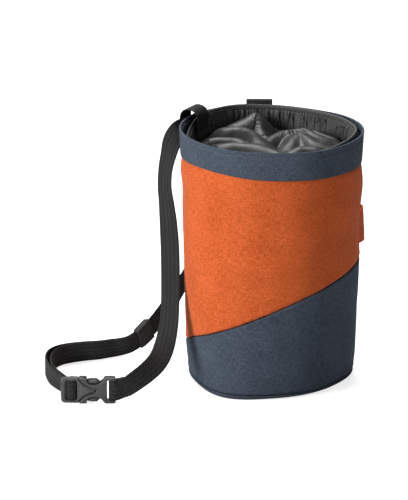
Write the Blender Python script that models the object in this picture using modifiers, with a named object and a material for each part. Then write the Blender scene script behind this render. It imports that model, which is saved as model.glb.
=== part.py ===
"""A climbing chalk bag: a cloth bucket with a gathered closure, two belt loops, a brush loop,
and a 15 mm waist belt with a side-release buckle.

The origin is the centre of the sole on the floor, +Z is up and -Y is the side that faces the viewer.
All sizes are in metres. An azimuth is in degrees, counted from +X towards +Y.
"""
import math

import bmesh
import bpy
from mathutils import Vector

# Bag
BAG_HEIGHT = 0.185
MOUTH_RADIUS = 0.0655
PANEL_WALL = 0.0020
SEWN_GAP = 0.0004          # between two pieces of cloth that are sewn together
SOLE_RISE = 0.0036         # how far the sole turns up before its seam
SOLE_WALL = 0.0022
SOLE_LIP = 0.2             # share of the sole's rise that stands straight

# Rim band
BAND_WALL = 0.0016
BAND_TUCK = 0.0060         # how far the orange wall reaches up behind the band

# Closure
RING_WALL = 0.0020
RING_DEPTH = 0.0280
PIPING_RADIUS = 0.0013
GATHER_COUNT = 24
GATHER_DEPTH = 0.0008
GATHER_START = 0.25        # share of the ring's height already passed where the gathers start
CLOTH_WALL = 0.0012
CLOTH_EDGE_DEPTH = 0.0180  # how far below the rim the satin meets the ring
CLOTH_SAG = 0.0150         # how far below the rim the satin lies between its folds
THROAT_RADIUS = 0.0075
FOLD_FADE = 3.0            # how fast the folds grow from the satin's edge

# Loops
LOOP_WIDTH = 0.0180
LOOP_WALL = 0.0012
LEFT_LOOP_RISE = 0.0070
BACK_LOOP_RISE = 0.0043
LOOP_LENGTH = 0.0250       # how far a loop reaches down the band
LOOP_JOG = 0.0042          # height over which a loop's outer leg comes in to the band
LEFT_LOOP_FOOT = 0.0065    # how far the left loop's inner end stays above the satin's edge
LEFT_LOOP_AZIMUTH = 148.5
BACK_LOOP_AZIMUTH = 96.4
BRUSH_LOOP_WIDTH = 0.0250
BRUSH_LOOP_BULGE = 0.0088
BRUSH_LOOP_HEIGHT = 0.1085
BRUSH_LOOP_SPAN = (2.0, 38.0)
BRUSH_LOOP_SEWN = 0.16     # share of the tunnel's span that is sewn down at each end
BRUSH_LOOP_ROUND = 0.8     # roundness of its bulge: 1 is a sine
BRUSH_LOOP_TAPER = 0.25    # how much flatter it is at its top

# Belt
BELT_WIDTH = 0.0150
BELT_WALL = 0.0014
BELT_GAP = 0.0004
BELT_DROP = 0.0089         # from the rim down to the belt's middle, in the loops
BELT_STRAIGHT = 0.0030     # how far the belt runs straight beyond a loop's edge
BELT_SETTLE = 0.0090       # how far beyond a loop's edge it lies against the band
TAIL_SPREAD = 0.0043       # how far the free end stands off the belt in the left bend
KEEPER_LENGTH = 0.0140
KEEPER_WALL = 0.0012
KEEPER_EASE = 0.0007       # room between the keeper and the webbing in it
TAIL_BEYOND_KEEPER = 0.0095
FLOOR_CLEAR = 0.0002       # the belt's lower edge lies this close to the floor
FOLD_BACK = 0.0080         # sewn double length beyond the socket
FOLD_LIFT = 0.0024         # how far the belt has risen at the end of that
ENTRY_LEAD = 0.0075        # how far behind the adjuster the belt heads for its inner slot
ENTRY_TURN = -20           # where on its way round the middle bar the belt enters, in degrees

# Buckle
BUCKLE_LENGTH = 0.0396
BUCKLE_HEIGHT = 0.0188
BUCKLE_WALL = 0.0072
FRAME_WALL = 0.0044
RAIL_WIDTH = 0.0030
SIDE_RAIL = 0.0017
BAR_WIDTH = 0.0024
BAR_WALL = 0.0026
SLOT_WIDTH = 0.0034
SHOULDER = 0.0014          # how far the adjuster's frame reaches beyond its inner slot
PRONG_WALL = 0.0026
BUCKLE_GAP = 0.0003
CUT_OVER = 0.0002          # how far a cutter reaches past the edge it cuts

# Faceting
ROUND_STEPS = 56
RING_STEPS = 72
PANEL_ROWS = 7
LOWER_ROWS = 6
CLOTH_STEPS = 56
CLOTH_ROWS = 10
ROUTE_STEP = 0.0062
TURN_STEPS = 8             # stations of the webbing round a bar
SMOOTH_ANGLE = 50.0

# Spacing of a piece's rows, as a power: above 1 they crowd at its start
LOWER_SPACING = 1.2
CLOTH_SPACING = 0.85

# Plan of the bag: azimuth, then the outer radius as a share of the mouth radius
PLAN_COLUMNS = ("azimuth", "rim", "middle", "foot", "sole")
PLAN = (
    (-180, 1.002, 0.955, 0.925, 0.900),
    (-150, 0.972, 0.948, 0.930, 0.898),
    (-120, 0.990, 0.968, 0.990, 0.966),
    (-90, 0.986, 0.955, 0.915, 0.835),
    (-60, 1.030, 0.962, 0.885, 0.785),
    (-30, 1.018, 0.960, 0.905, 0.835),
    (0, 1.014, 0.960, 0.955, 0.925),
    (30, 0.985, 0.948, 0.948, 0.915),
    (60, 0.936, 0.940, 0.940, 0.908),
    (90, 0.990, 0.948, 0.940, 0.908),
    (120, 1.046, 0.955, 0.932, 0.900),
    (150, 1.028, 0.955, 0.928, 0.900),
)
MIDDLE_LEVEL = 0.50        # heights of the plan's middle and foot, as shares of the bag height
FOOT_LEVEL = 0.05

# Lower edge of the band, and the slanting seam, as shares of the bag height
EDGE_COLUMNS = ("azimuth", "band", "seam")
EDGES = (
    (-180, 0.895, 0.145),
    (-160, 0.895, 0.187),
    (-140, 0.900, 0.229),
    (-120, 0.898, 0.278),
    (-100, 0.890, 0.330),
    (-80, 0.888, 0.381),
    (-60, 0.885, 0.424),
    (-40, 0.882, 0.458),
    (-20, 0.877, 0.479),
    (0, 0.876, 0.487),
    (20, 0.878, 0.480),
    (60, 0.884, 0.430),
    (100, 0.890, 0.330),
    (140, 0.893, 0.210),
    (160, 0.895, 0.160),
)

# The closure ring: azimuth, gap to the band as a share of the mouth radius, rise of its top
# edge above the rim as a share of the bag height
RING_COLUMNS = ("azimuth", "inset", "rise")
RING = (
    (-180, 0.040, -0.010),
    (-150, 0.038, -0.020),
    (-90, 0.034, -0.020),
    (-60, 0.036, -0.009),
    (-40, 0.058, -0.004),
    (-15, 0.066, -0.003),
    (2, 0.046, -0.002),
    (30, 0.050, 0.002),
    (60, 0.046, 0.005),
    (90, 0.045, 0.007),
    (120, 0.040, 0.010),
    (150, 0.040, 0.008),
)

# Dents in the wall: azimuth, height as a share of the bag height, half widths in degrees and as
# a share of the bag height, depth as a share of the mouth radius
DENT_COLUMNS = ("azimuth", "level", "degrees", "tall", "depth")
DENTS = (
    (-128, 0.66, 20, 0.11, 0.016),
    (-78, 0.70, 24, 0.09, 0.022),
    (-28, 0.62, 22, 0.12, 0.016),
    (-100, 0.47, 12, 0.05, 0.012),
    (-96, 0.20, 22, 0.08, 0.016),
    (-38, 0.26, 20, 0.10, 0.016),
    (60, 0.55, 26, 0.16, 0.018),
    (120, 0.35, 24, 0.16, 0.018),
)

# Folds of the satin: each crest runs from a start by a middle to an end, in shares of the mouth
# radius, with its height and half width as shares of the same
FOLD_COLUMNS = ("x0", "y0", "x1", "y1", "x2", "y2", "height", "width")
FOLDS = (
    (-0.50, 0.42, -0.20, 0.36, -0.07, -0.20, 0.15, 0.090),
    (-0.34, 0.66, -0.16, 0.74, 0.02, 0.62, 0.20, 0.105),
    (-0.12, -0.06, 0.20, 0.44, 0.66, 0.06, 0.14, 0.080),
    (0.10, -0.26, 0.33, 0.30, 0.62, -0.12, 0.11, 0.080),
    (-0.66, 0.08, -0.46, 0.04, -0.24, -0.06, 0.12, 0.070),
    (-0.60, -0.16, -0.16, -0.20, 0.12, -0.50, 0.11, 0.090),
    (0.22, -0.42, 0.34, -0.24, 0.56, -0.26, 0.09, 0.080),
)
THROAT_X = 0.16            # the throat's centre, in shares of the mouth radius
THROAT_Y = 0.55
THROAT_DIP = 0.13          # how far the satin dips to it, as a share of the same
THROAT_REACH = 0.9         # how far round the throat it dips, as a share of the throat's radius

# Belt routes: x and y in shares of the mouth radius, z as a share of the bag height above the
# belt's own half width, and the direction of the webbing's width
ROUTE_COLUMNS = ("x", "y", "z", "across_x", "across_y", "across_z")
FRONT_ROUTE = (
    (-1.490, -0.945, 0.041, -0.28, 0.05, 0.95),
    (-1.356, -0.870, 0.073, -0.50, 0.10, 0.85),
    (-1.243, -0.763, 0.108, -0.65, 0.28, 0.70),
    (-1.179, -0.641, 0.149, -0.74, 0.42, 0.50),
    (-1.125, -0.458, 0.225, -0.76, 0.60, 0.20),
    (-1.105, -0.305, 0.296, -0.80, 0.58, 0.10),
    (-1.101, -0.122, 0.398, -0.87, 0.48, 0.04),
    (-1.107, 0.031, 0.503, -0.89, 0.45, 0.00),
    (-1.124, 0.137, 0.594, -0.85, 0.52, 0.00),
    (-1.145, 0.198, 0.669, -0.74, 0.66, 0.02),
    (-1.166, 0.244, 0.734, -0.63, 0.76, 0.08),
    (-1.156, 0.290, 0.794, -0.61, 0.76, 0.18),
    (-1.122, 0.322, 0.846, -0.62, 0.72, 0.30),
    (-1.076, 0.368, 0.885, -0.50, 0.55, 0.66),
)
BACK_ROUTE = (
    (0.125, 1.085, 0.903, 0.20, -0.10, 0.97),
    (0.195, 1.130, 0.864, 0.65, -0.40, 0.60),
    (0.125, 1.185, 0.808, 0.55, -0.80, 0.22),
    (-0.080, 1.220, 0.738, 0.20, -0.97, 0.06),
    (-0.300, 1.232, 0.655, -0.05, -0.99, 0.04),
    (-0.500, 1.232, 0.555, -0.20, -0.97, 0.09),
    (-0.668, 1.224, 0.446, -0.36, -0.92, 0.16),
    (-0.838, 1.208, 0.316, -0.50, -0.82, 0.26),
    (-0.962, 1.191, 0.224, -0.60, -0.70, 0.36),
    (-1.130, 1.110, 0.118, -0.52, -0.46, 0.72),
    (-1.262, 0.980, 0.058, -0.28, -0.29, 0.92),
)
FLOOR_ROUTE = (
    (-1.402, 0.763, 0.028, -0.17, -0.25, 0.95),
    (-1.489, 0.640, 0.012, -0.08, -0.30, 0.95),
    (-1.590, 0.542, 0.003, 0.00, -0.30, 0.95),
    (-1.737, 0.463, 0.001, 0.00, -0.27, 0.96),
    (-1.904, 0.388, 0.001, 0.00, -0.17, 0.98),
    (-2.075, 0.345, 0.001, 0.00, -0.10, 1.00),
    (-2.240, 0.270, 0.001, 0.00, -0.05, 1.00),
    (-2.362, 0.165, 0.001, 0.00, 0.00, 1.00),
    (-2.408, -0.040, 0.001, 0.00, 0.00, 1.00),
    (-2.374, -0.232, 0.001, 0.00, 0.00, 1.00),
    (-2.319, -0.382, 0.002, 0.00, 0.00, 1.00),
    (-2.250, -0.586, 0.006, 0.00, 0.00, 1.00),
    (-2.203, -0.730, 0.009, 0.00, 0.00, 1.00),
)
BUCKLE_PLACE = (-2.292, -0.954)   # the buckle's left end, in shares of the mouth radius

# Upper halves of the buckle's outlines: along it as shares of its length, and up from its middle
# line as shares of half its height
CLIP_OUTLINE = (
    (0.015, 0.860),
    (0.056, 1.000),
    (0.343, 1.000),
    (0.343, 0.770),
    (0.634, 0.898),
    (0.735, 0.576),
    (0.735, 0.470),
    (0.419, 0.470),
    (0.500, 0.200),
    (0.620, 0.120),
)
SOCKET_OUTLINE = (
    (0.352, 0.990),
    (0.480, 0.990),
    (0.500, 0.406),
    (0.695, 0.406),
    (0.775, 0.750),
    (0.801, 0.980),
    (0.980, 0.980),
    (1.000, 0.900),
)
CHANNEL_SPAN = (0.325, 0.755)     # the prongs' channel through the socket, in the same shares
CHANNEL_UP = 0.930


def row_dict(columns, row):
    return dict(zip(columns, row))


def round_table(columns, rows, column, azimuth):
    """Reads one column of a table of azimuths on a smooth closed curve."""
    azimuths = [row[0] for row in rows]
    values = [row[columns.index(column)] for row in rows]
    count = len(rows)
    azimuth = (azimuth - azimuths[0]) % 360.0 + azimuths[0]
    index = max(i for i in range(count) if azimuths[i] <= azimuth)
    places = [azimuths[(index + k) % count] + 360.0 * ((index + k) // count) for k in (-1, 0, 1, 2)]
    heights = [values[(index + k) % count] for k in (-1, 0, 1, 2)]
    span = places[2] - places[1]
    t = (azimuth - places[1]) / span
    slope_in = (heights[2] - heights[0]) / (places[2] - places[0]) * span
    slope_out = (heights[3] - heights[1]) / (places[3] - places[1]) * span
    return ((2 * t ** 3 - 3 * t ** 2 + 1) * heights[1] + (t ** 3 - 2 * t ** 2 + t) * slope_in
            + (3 * t ** 2 - 2 * t ** 3) * heights[2] + (t ** 3 - t ** 2) * slope_out)


def plan(column, azimuth):
    return MOUTH_RADIUS * round_table(PLAN_COLUMNS, PLAN, column, azimuth)


def edge(column, azimuth):
    return BAG_HEIGHT * round_table(EDGE_COLUMNS, EDGES, column, azimuth)


def turn_between(a, b):
    """The smaller angle between two azimuths, in degrees."""
    return abs((a - b + 180.0) % 360.0 - 180.0)


def dent_depth(azimuth, z):
    total = 0.0
    for row in DENTS:
        dent = row_dict(DENT_COLUMNS, row)
        sideways = turn_between(azimuth, dent["azimuth"]) / dent["degrees"]
        upright = (z / BAG_HEIGHT - dent["level"]) / dent["tall"]
        total += dent["depth"] * math.exp(-sideways ** 2 - upright ** 2)
    return total * MOUTH_RADIUS


def band_radius(azimuth, z):
    """The outer radius of the band: a smooth curve through the foot, the middle and the rim."""
    levels = (FOOT_LEVEL, MIDDLE_LEVEL, 1.0)
    radii = (plan("foot", azimuth), plan("middle", azimuth), plan("rim", azimuth))
    share = z / BAG_HEIGHT
    total = 0.0
    for i, level in enumerate(levels):
        weight = 1.0
        for other in levels[:i] + levels[i + 1:]:
            weight *= (share - other) / (level - other)
        total += weight * radii[i]
    return total


def wall_radius(azimuth, z):
    """The outer radius of the cloth wall, which lies behind the band at the top."""
    behind_band = BAND_WALL + SEWN_GAP
    middle = BAG_HEIGHT * MIDDLE_LEVEL
    share = max(0.0, min(1.0, (z - middle) / (edge("band", azimuth) - middle)))
    return band_radius(azimuth, z) - behind_band * share ** 2 - dent_depth(azimuth, z)


def polar(radius, azimuth, z):
    angle = math.radians(azimuth)
    return Vector((radius * math.cos(angle), radius * math.sin(angle), z))


def material(name, colour, roughness):
    made = bpy.data.materials.new(name)
    made.use_nodes = True
    shader = made.node_tree.nodes["Principled BSDF"]
    shader.inputs["Base Color"].default_value = (*colour, 1.0)
    shader.inputs["Roughness"].default_value = roughness
    return made


def add_object(name, mesh, look, collection):
    made = bpy.data.objects.new(name, mesh)
    mesh.materials.append(look)
    collection.objects.link(made)
    mesh.shade_smooth()
    mesh.set_sharp_from_angle(angle=math.radians(SMOOTH_ANGLE))
    return made


def grid_mesh(name, along, across, place):
    """A grid laid out by place(u, w), with edges that meet welded together."""
    form = bmesh.new()
    bmesh.ops.create_grid(form, x_segments=along, y_segments=across, size=0.5)
    for vert in form.verts:
        vert.co = place(vert.co.x + 0.5, vert.co.y + 0.5)
    bmesh.ops.remove_doubles(form, verts=form.verts, dist=1e-7)
    mesh = bpy.data.meshes.new(name)
    form.to_mesh(mesh)
    form.free()
    return mesh


def thicken(made, wall, offset):
    shell = made.modifiers.new("wall", "SOLIDIFY")
    shell.thickness = wall
    shell.offset = offset
    shell.use_even_offset = True
    return made


def azimuth_of(u):
    return -180.0 + 360.0 * u


def upper_panel(collection):
    """Orange wall, from the slanting seam up behind the band."""
    def place(u, w):
        azimuth = azimuth_of(u)
        low = edge("seam", azimuth) + SEWN_GAP / 2
        high = edge("band", azimuth) + BAND_TUCK
        z = low + (high - low) * w
        return polar(wall_radius(azimuth, z), azimuth, z)

    mesh = grid_mesh("upper_panel", ROUND_STEPS, PANEL_ROWS, place)
    look = material("orange_cloth", (0.62, 0.13, 0.035), 0.85)
    return thicken(add_object("upper_panel", mesh, look, collection), PANEL_WALL, -1)


def lower_panel(collection):
    """Navy wall, from the sole's seam up to the slanting seam."""
    def place(u, w):
        azimuth = azimuth_of(u)
        low = SOLE_RISE + SEWN_GAP / 2
        high = edge("seam", azimuth) - SEWN_GAP / 2
        z = low + (high - low) * w ** LOWER_SPACING
        return polar(wall_radius(azimuth, z), azimuth, z)

    mesh = grid_mesh("lower_panel", ROUND_STEPS, LOWER_ROWS, place)
    look = material("navy_cloth", (0.06, 0.08, 0.12), 0.85)
    return thicken(add_object("lower_panel", mesh, look, collection), PANEL_WALL, -1)


def base_panel(collection):
    """Flat sole whose edge curls up to its seam with the wall."""
    flat_rings = 1
    curl_rings = 3
    rings = flat_rings + curl_rings + 1
    top = SOLE_RISE - SEWN_GAP / 2
    upright = top * SOLE_LIP

    form = bmesh.new()
    bmesh.ops.create_circle(form, segments=ROUND_STEPS, radius=1.0, cap_ends=True, cap_tris=True)
    border = [e for e in form.edges if e.is_boundary]
    rim = [vert for vert in form.verts if vert.is_boundary]

    def place(vert, azimuth, ring):
        sole = plan("sole", azimuth)
        if ring <= flat_rings:
            vert.co = polar(sole * ring / flat_rings, azimuth, 0.0)
            return
        curl = math.radians(90.0 * min(1.0, (ring - flat_rings) / curl_rings))
        z = top if ring == rings else (top - upright) * (1.0 - math.cos(curl))
        vert.co = polar(sole + (wall_radius(azimuth, top) - sole) * math.sin(curl), azimuth, z)

    for vert in rim:
        place(vert, math.degrees(math.atan2(vert.co.y, vert.co.x)), 1)
    for ring in range(2, rings + 1):
        grown = bmesh.ops.extrude_edge_only(form, edges=border)
        for vert in (g for g in grown["geom"] if isinstance(g, bmesh.types.BMVert)):
            place(vert, math.degrees(math.atan2(vert.co.y, vert.co.x)), ring)
        border = [g for g in grown["geom"] if isinstance(g, bmesh.types.BMEdge) and g.is_boundary]
    form.normal_update()
    bmesh.ops.recalc_face_normals(form, faces=form.faces)
    if sum(face.normal.z for face in form.faces) > 0:
        bmesh.ops.reverse_faces(form, faces=form.faces)
    mesh = bpy.data.meshes.new("base_panel")
    form.to_mesh(mesh)
    form.free()
    look = material("sole_cloth", (0.05, 0.065, 0.10), 0.85)
    return thicken(add_object("base_panel", mesh, look, collection), SOLE_WALL, -1)


def rim_band(collection):
    """Navy band round the mouth, with a rounded top edge."""
    rows = 4

    def place(u, w):
        azimuth = azimuth_of(u)
        low = edge("band", azimuth)
        z = low + (BAG_HEIGHT - low) * w
        return polar(band_radius(azimuth, z), azimuth, z)

    mesh = grid_mesh("rim_band", ROUND_STEPS, rows, place)
    look = material("band_cloth", (0.07, 0.09, 0.13), 0.8)
    return thicken(add_object("rim_band", mesh, look, collection), BAND_WALL, -1)


def ring_inset(azimuth):
    return MOUTH_RADIUS * round_table(RING_COLUMNS, RING, "inset", azimuth)


def ring_top(azimuth):
    return BAG_HEIGHT * (1.0 + round_table(RING_COLUMNS, RING, "rise", azimuth))


def ring_radius(azimuth, depth):
    """Outer radius of the closure ring: clear of the band at its top, against the wall at its foot."""
    z = BAG_HEIGHT - depth
    share = max(0.0, min(1.0, depth / RING_DEPTH))
    behind = BAND_WALL + SEWN_GAP + PANEL_WALL + SEWN_GAP
    at_top = band_radius(azimuth, BAG_HEIGHT) - BAND_WALL - ring_inset(azimuth)
    at_foot = min(wall_radius(azimuth, z) - PANEL_WALL - SEWN_GAP, band_radius(azimuth, z) - behind)
    return min(at_foot, at_top + (at_foot - at_top) * share ** 2)


def closure_ring(collection):
    """Gathered ring inside the mouth, hanging from its corded edge."""
    rows = 3

    def place(u, w):
        azimuth = azimuth_of(u)
        top = ring_top(azimuth) - PIPING_RADIUS * 2 - SEWN_GAP
        low = BAG_HEIGHT - RING_DEPTH
        z = low + (top - low) * w
        gather = GATHER_DEPTH * 0.5 * (1.0 - math.cos(math.radians(azimuth * GATHER_COUNT)))
        fade = math.sin(math.pi * min(1.0, w + GATHER_START))
        return polar(ring_radius(azimuth, BAG_HEIGHT - z) - gather * fade, azimuth, z)

    mesh = grid_mesh("closure_ring", RING_STEPS, rows, place)
    look = material("ring_cloth", (0.05, 0.05, 0.055), 0.6)
    return thicken(add_object("closure_ring", mesh, look, collection), RING_WALL, -1)


def tube(name, points, radius, closed, look, collection):
    """A round cord along the given points, as a mesh."""
    curve = bpy.data.curves.new(name, "CURVE")
    curve.dimensions = "3D"
    curve.bevel_depth = radius
    curve.bevel_resolution = 1
    curve.use_fill_caps = not closed
    curve.render_resolution_u = 0
    spline = curve.splines.new("POLY")
    spline.points.add(len(points) - 1)
    for item, point in zip(spline.points, points):
        item.co = (*point, 1.0)
    spline.use_cyclic_u = closed
    guide = bpy.data.objects.new(name + "_guide", curve)
    collection.objects.link(guide)
    graph = bpy.context.evaluated_depsgraph_get()
    mesh = bpy.data.meshes.new_from_object(guide.evaluated_get(graph))
    bpy.data.objects.remove(guide)
    return add_object(name, mesh, look, collection)


def ring_piping(collection):
    """Cord sewn into the ring's top edge."""
    points = []
    for step in range(ROUND_STEPS):
        azimuth = azimuth_of(step / ROUND_STEPS)
        radius = ring_radius(azimuth, 0.0) - RING_WALL / 2
        points.append(polar(radius, azimuth, ring_top(azimuth) - PIPING_RADIUS))
    look = material("piping_cloth", (0.09, 0.09, 0.095), 0.55)
    return tube("ring_piping", points, PIPING_RADIUS, True, look, collection)


def crest_distance(x, y, fold):
    """Distance from a place to a fold's crest, in shares of the mouth radius."""
    best = math.inf
    steps = 12
    for k in range(steps + 1):
        t = k / steps
        a, b, c = (1 - t) ** 2, 2 * t * (1 - t), t * t
        crest_x = a * fold["x0"] + b * fold["x1"] + c * fold["x2"]
        crest_y = a * fold["y0"] + b * fold["y1"] + c * fold["y2"]
        best = min(best, math.hypot(x - crest_x, y - crest_y))
    return best


def satin_rise(x, y):
    """Height of the folds over the satin's low parts, at a place in shares of the mouth radius."""
    total = 0.0
    for row in FOLDS:
        fold = row_dict(FOLD_COLUMNS, row)
        distance = crest_distance(x, y, fold)
        total = max(total, fold["height"] * math.exp(-(distance / fold["width"]) ** 2))
    return total


def closure_cloth(collection):
    """Crumpled satin between the ring and a small throat, which lies behind the tallest fold."""
    throat = Vector((THROAT_X, THROAT_Y, 0.0)) * MOUTH_RADIUS

    def place(u, w):
        azimuth = azimuth_of(u)
        ring_face = ring_radius(azimuth, CLOTH_EDGE_DEPTH) - RING_WALL - GATHER_DEPTH
        outer = polar(ring_face - SEWN_GAP, azimuth, 0.0)
        inner = throat + polar(THROAT_RADIUS, azimuth, 0.0)
        point = inner.lerp(outer, w ** CLOTH_SPACING)
        from_throat = (point - throat).length / THROAT_RADIUS - 1.0
        dip = THROAT_DIP * math.exp(-(from_throat / THROAT_REACH) ** 2)
        fade = min(1.0, (1.0 - w) * FOLD_FADE)
        rise = satin_rise(point.x / MOUTH_RADIUS, point.y / MOUTH_RADIUS) * fade
        depth = CLOTH_SAG + (CLOTH_EDGE_DEPTH - CLOTH_SAG) * w ** 3
        point.z = BAG_HEIGHT - depth + (rise - dip) * MOUTH_RADIUS
        return point

    mesh = grid_mesh("closure_cloth", CLOTH_STEPS, CLOTH_ROWS, place)
    look = material("satin_cloth", (0.07, 0.07, 0.075), 0.3)
    return thicken(add_object("closure_cloth", mesh, look, collection), CLOTH_WALL, 0)


def smooth_route(stations, step):
    """Reads places and width directions from a smooth curve through the stations."""
    points = [place for place, _ in stations]
    acrosses = [across for _, across in stations]
    count = len(points)
    knots = [0.0]
    for a, b in zip(points, points[1:]):
        knots.append(knots[-1] + (b - a).length)

    def slope(i):
        low, high = max(i - 1, 0), min(i + 1, count - 1)
        return (points[high] - points[low]) / (knots[high] - knots[low])

    route = []
    for i in range(count - 1):
        span = knots[i + 1] - knots[i]
        parts = max(1, round(span / step))
        for k in range(parts + (i == count - 2)):
            t = k / parts
            h00, h10 = 2 * t ** 3 - 3 * t ** 2 + 1, t ** 3 - 2 * t ** 2 + t
            h01, h11 = 3 * t ** 2 - 2 * t ** 3, t ** 3 - t ** 2
            place = points[i] * h00 + points[i + 1] * h01
            place += (slope(i) * h10 + slope(i + 1) * h11) * span
            route.append((place, acrosses[i].lerp(acrosses[i + 1], t).normalized()))
    return route


def squared(route):
    """Turns each width direction square to the route, and adds the direction along it."""
    made = []
    for i, (point, across) in enumerate(route):
        ahead = route[min(i + 1, len(route) - 1)][0] - route[max(i - 1, 0)][0]
        ahead.normalize()
        flat = across - ahead * across.dot(ahead)
        made.append((point, flat.normalized(), ahead))
    return made


def ribbon(name, frames, width, wall, look, collection):
    """Webbing along a route: a strip one face wide, thickened about its middle."""
    last = len(frames) - 1

    def place(u, w):
        point, across = frames[round(u * last)][:2]
        return point + across * (width * (w - 0.5))

    mesh = grid_mesh(name, last, 1, place)
    return thicken(add_object(name, mesh, look, collection), wall, 0)


def from_shares(row):
    """A belt station's place and width direction."""
    station = row_dict(ROUTE_COLUMNS, row)
    across = Vector((station["across_x"], station["across_y"], station["across_z"])).normalized()
    lift = BELT_WIDTH / 2 * abs(across.z) + BELT_WALL / 2 * math.sqrt(1.0 - min(1.0, across.z ** 2))
    x, y = station["x"] * MOUTH_RADIUS, station["y"] * MOUTH_RADIUS
    return Vector((x, y, lift + station["z"] * BAG_HEIGHT)), across


def band_frame(azimuth):
    """A place on the band at a loop's azimuth, with the directions along it and away from it."""
    reach = math.degrees(LOOP_WIDTH / 2 / MOUTH_RADIUS)
    levels = (BAG_HEIGHT, BAG_HEIGHT - BELT_DROP, BAG_HEIGHT - LOOP_LENGTH)
    radii = [max(band_radius(azimuth + side * reach, z) for z in levels) for side in (-1, 0, 1)]
    places = [polar(radius, azimuth + side * reach, 0.0) for radius, side in zip(radii, (-1, 0, 1))]
    along = (places[2] - places[0]).normalized()
    out = along.cross(Vector((0.0, 0.0, 1.0)))
    stand = max(0.0, max((place - places[1]).dot(out) for place in places))
    return places[1] + out * stand, along, out


def belt_clearance():
    """From the band to the middle of the belt, where a loop's inner leg may lie between them."""
    return SEWN_GAP + LOOP_WALL + BELT_GAP + BELT_WALL / 2


def belt_in_loop(azimuth, side):
    """A station of the belt in a loop: side is -1, 0 or 1, from its right edge to its left."""
    place, along, out = band_frame(azimuth)
    station = place + along * (side * (LOOP_WIDTH / 2 + BELT_STRAIGHT)) + out * belt_clearance()
    station.z = BAG_HEIGHT - BELT_DROP
    return station, Vector((0.0, 0.0, 1.0))


def belt_between_loops():
    """Stations of the belt against the band, between the loops."""
    reach = math.degrees((LOOP_WIDTH / 2 + BELT_SETTLE) / MOUTH_RADIUS)
    start, stop = LEFT_LOOP_AZIMUTH - reach, BACK_LOOP_AZIMUTH + reach
    made = []
    for k in range(3):
        azimuth = start + (stop - start) * k / 2
        radius = band_radius(azimuth, BAG_HEIGHT) + belt_clearance()
        made.append((polar(radius, azimuth, BAG_HEIGHT - BELT_DROP), Vector((0.0, 0.0, 1.0))))
    return made


def buckle_point(along, out, up=0.0):
    """A place on the buckle: along it from its left end, out towards the viewer, and up."""
    left = Vector((BUCKLE_PLACE[0] * MOUTH_RADIUS, BUCKLE_PLACE[1] * MOUTH_RADIUS, BUCKLE_HEIGHT / 2))
    return left + Vector((along, -out, up))


def buckle_sizes():
    """Places along the buckle, from its left end."""
    middle_bar = RAIL_WIDTH + SLOT_WIDTH
    inner_slot = middle_bar + BAR_WIDTH
    end_bar = BUCKLE_LENGTH - BAR_WIDTH
    return {
        "outer_slot": RAIL_WIDTH,
        "middle_bar": middle_bar,
        "inner_slot": inner_slot,
        "frame_end": inner_slot + SLOT_WIDTH,
        "end_slot": end_bar - SLOT_WIDTH,
        "end_bar": end_bar,
    }


def bar_turn(along, start, stop, steps):
    """Stations round a bar of the buckle, from one angle to another, seen from above."""
    made = []
    reach = BELT_WALL / 2 + BELT_GAP
    for k in range(steps + 1):
        angle = math.radians(start + (stop - start) * k / steps)
        side, out = math.cos(angle), math.sin(angle)
        corner_along = along + BAR_WIDTH / 2 + math.copysign(BAR_WIDTH / 2, side)
        corner_out = math.copysign(BAR_WALL / 2, out)
        place = buckle_point(corner_along + side * reach, corner_out + out * reach)
        made.append((place, Vector((0.0, 0.0, 1.0))))
    return made


def off_the_floor(route):
    """Lifts the stations of a route whose lower edge would lie under the floor."""
    made = []
    for point, across, ahead in squared(route):
        face = ahead.cross(across)
        lowest = point.z - BELT_WIDTH / 2 * abs(across.z) - BELT_WALL / 2 * abs(face.z)
        made.append((point + Vector((0.0, 0.0, max(0.0, FLOOR_CLEAR - lowest))), across))
    return made


def front_run(look, collection):
    """Webbing sewn round the socket's end bar, then up the bag's left side to the left loop."""
    sizes = buckle_sizes()
    up = Vector((0.0, 0.0, 1.0))
    layer = BELT_WALL / 2 + BELT_GAP / 2
    turn = bar_turn(sizes["end_bar"], 290, 70, TURN_STEPS)
    joint, fold_end = BUCKLE_LENGTH + FOLD_BACK / 2, BUCKLE_LENGTH + FOLD_BACK
    folded = [(buckle_point(fold_end, -layer, FOLD_LIFT), up), (buckle_point(joint, -layer, FOLD_LIFT / 2), up)]
    single = [(buckle_point(joint, layer, FOLD_LIFT / 2), up), (buckle_point(fold_end, layer, FOLD_LIFT), up)]
    ends = [belt_in_loop(LEFT_LOOP_AZIMUTH, side) for side in (1, 0.5, 0)]
    climb = smooth_route(single[1:] + [from_shares(row) for row in FRONT_ROUTE] + ends, ROUTE_STEP)
    frames = squared(folded + turn + single[:1] + off_the_floor(climb))
    return ribbon("belt_front_run", with_gap(frames), BELT_WIDTH, BELT_WALL, look, collection)


def with_gap(frames):
    """Draws a route's last station back by the gap that two touching ends keep."""
    point, across, ahead = frames[-1]
    return frames[:-1] + [(point - ahead * SEWN_GAP, across, ahead)]


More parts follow.
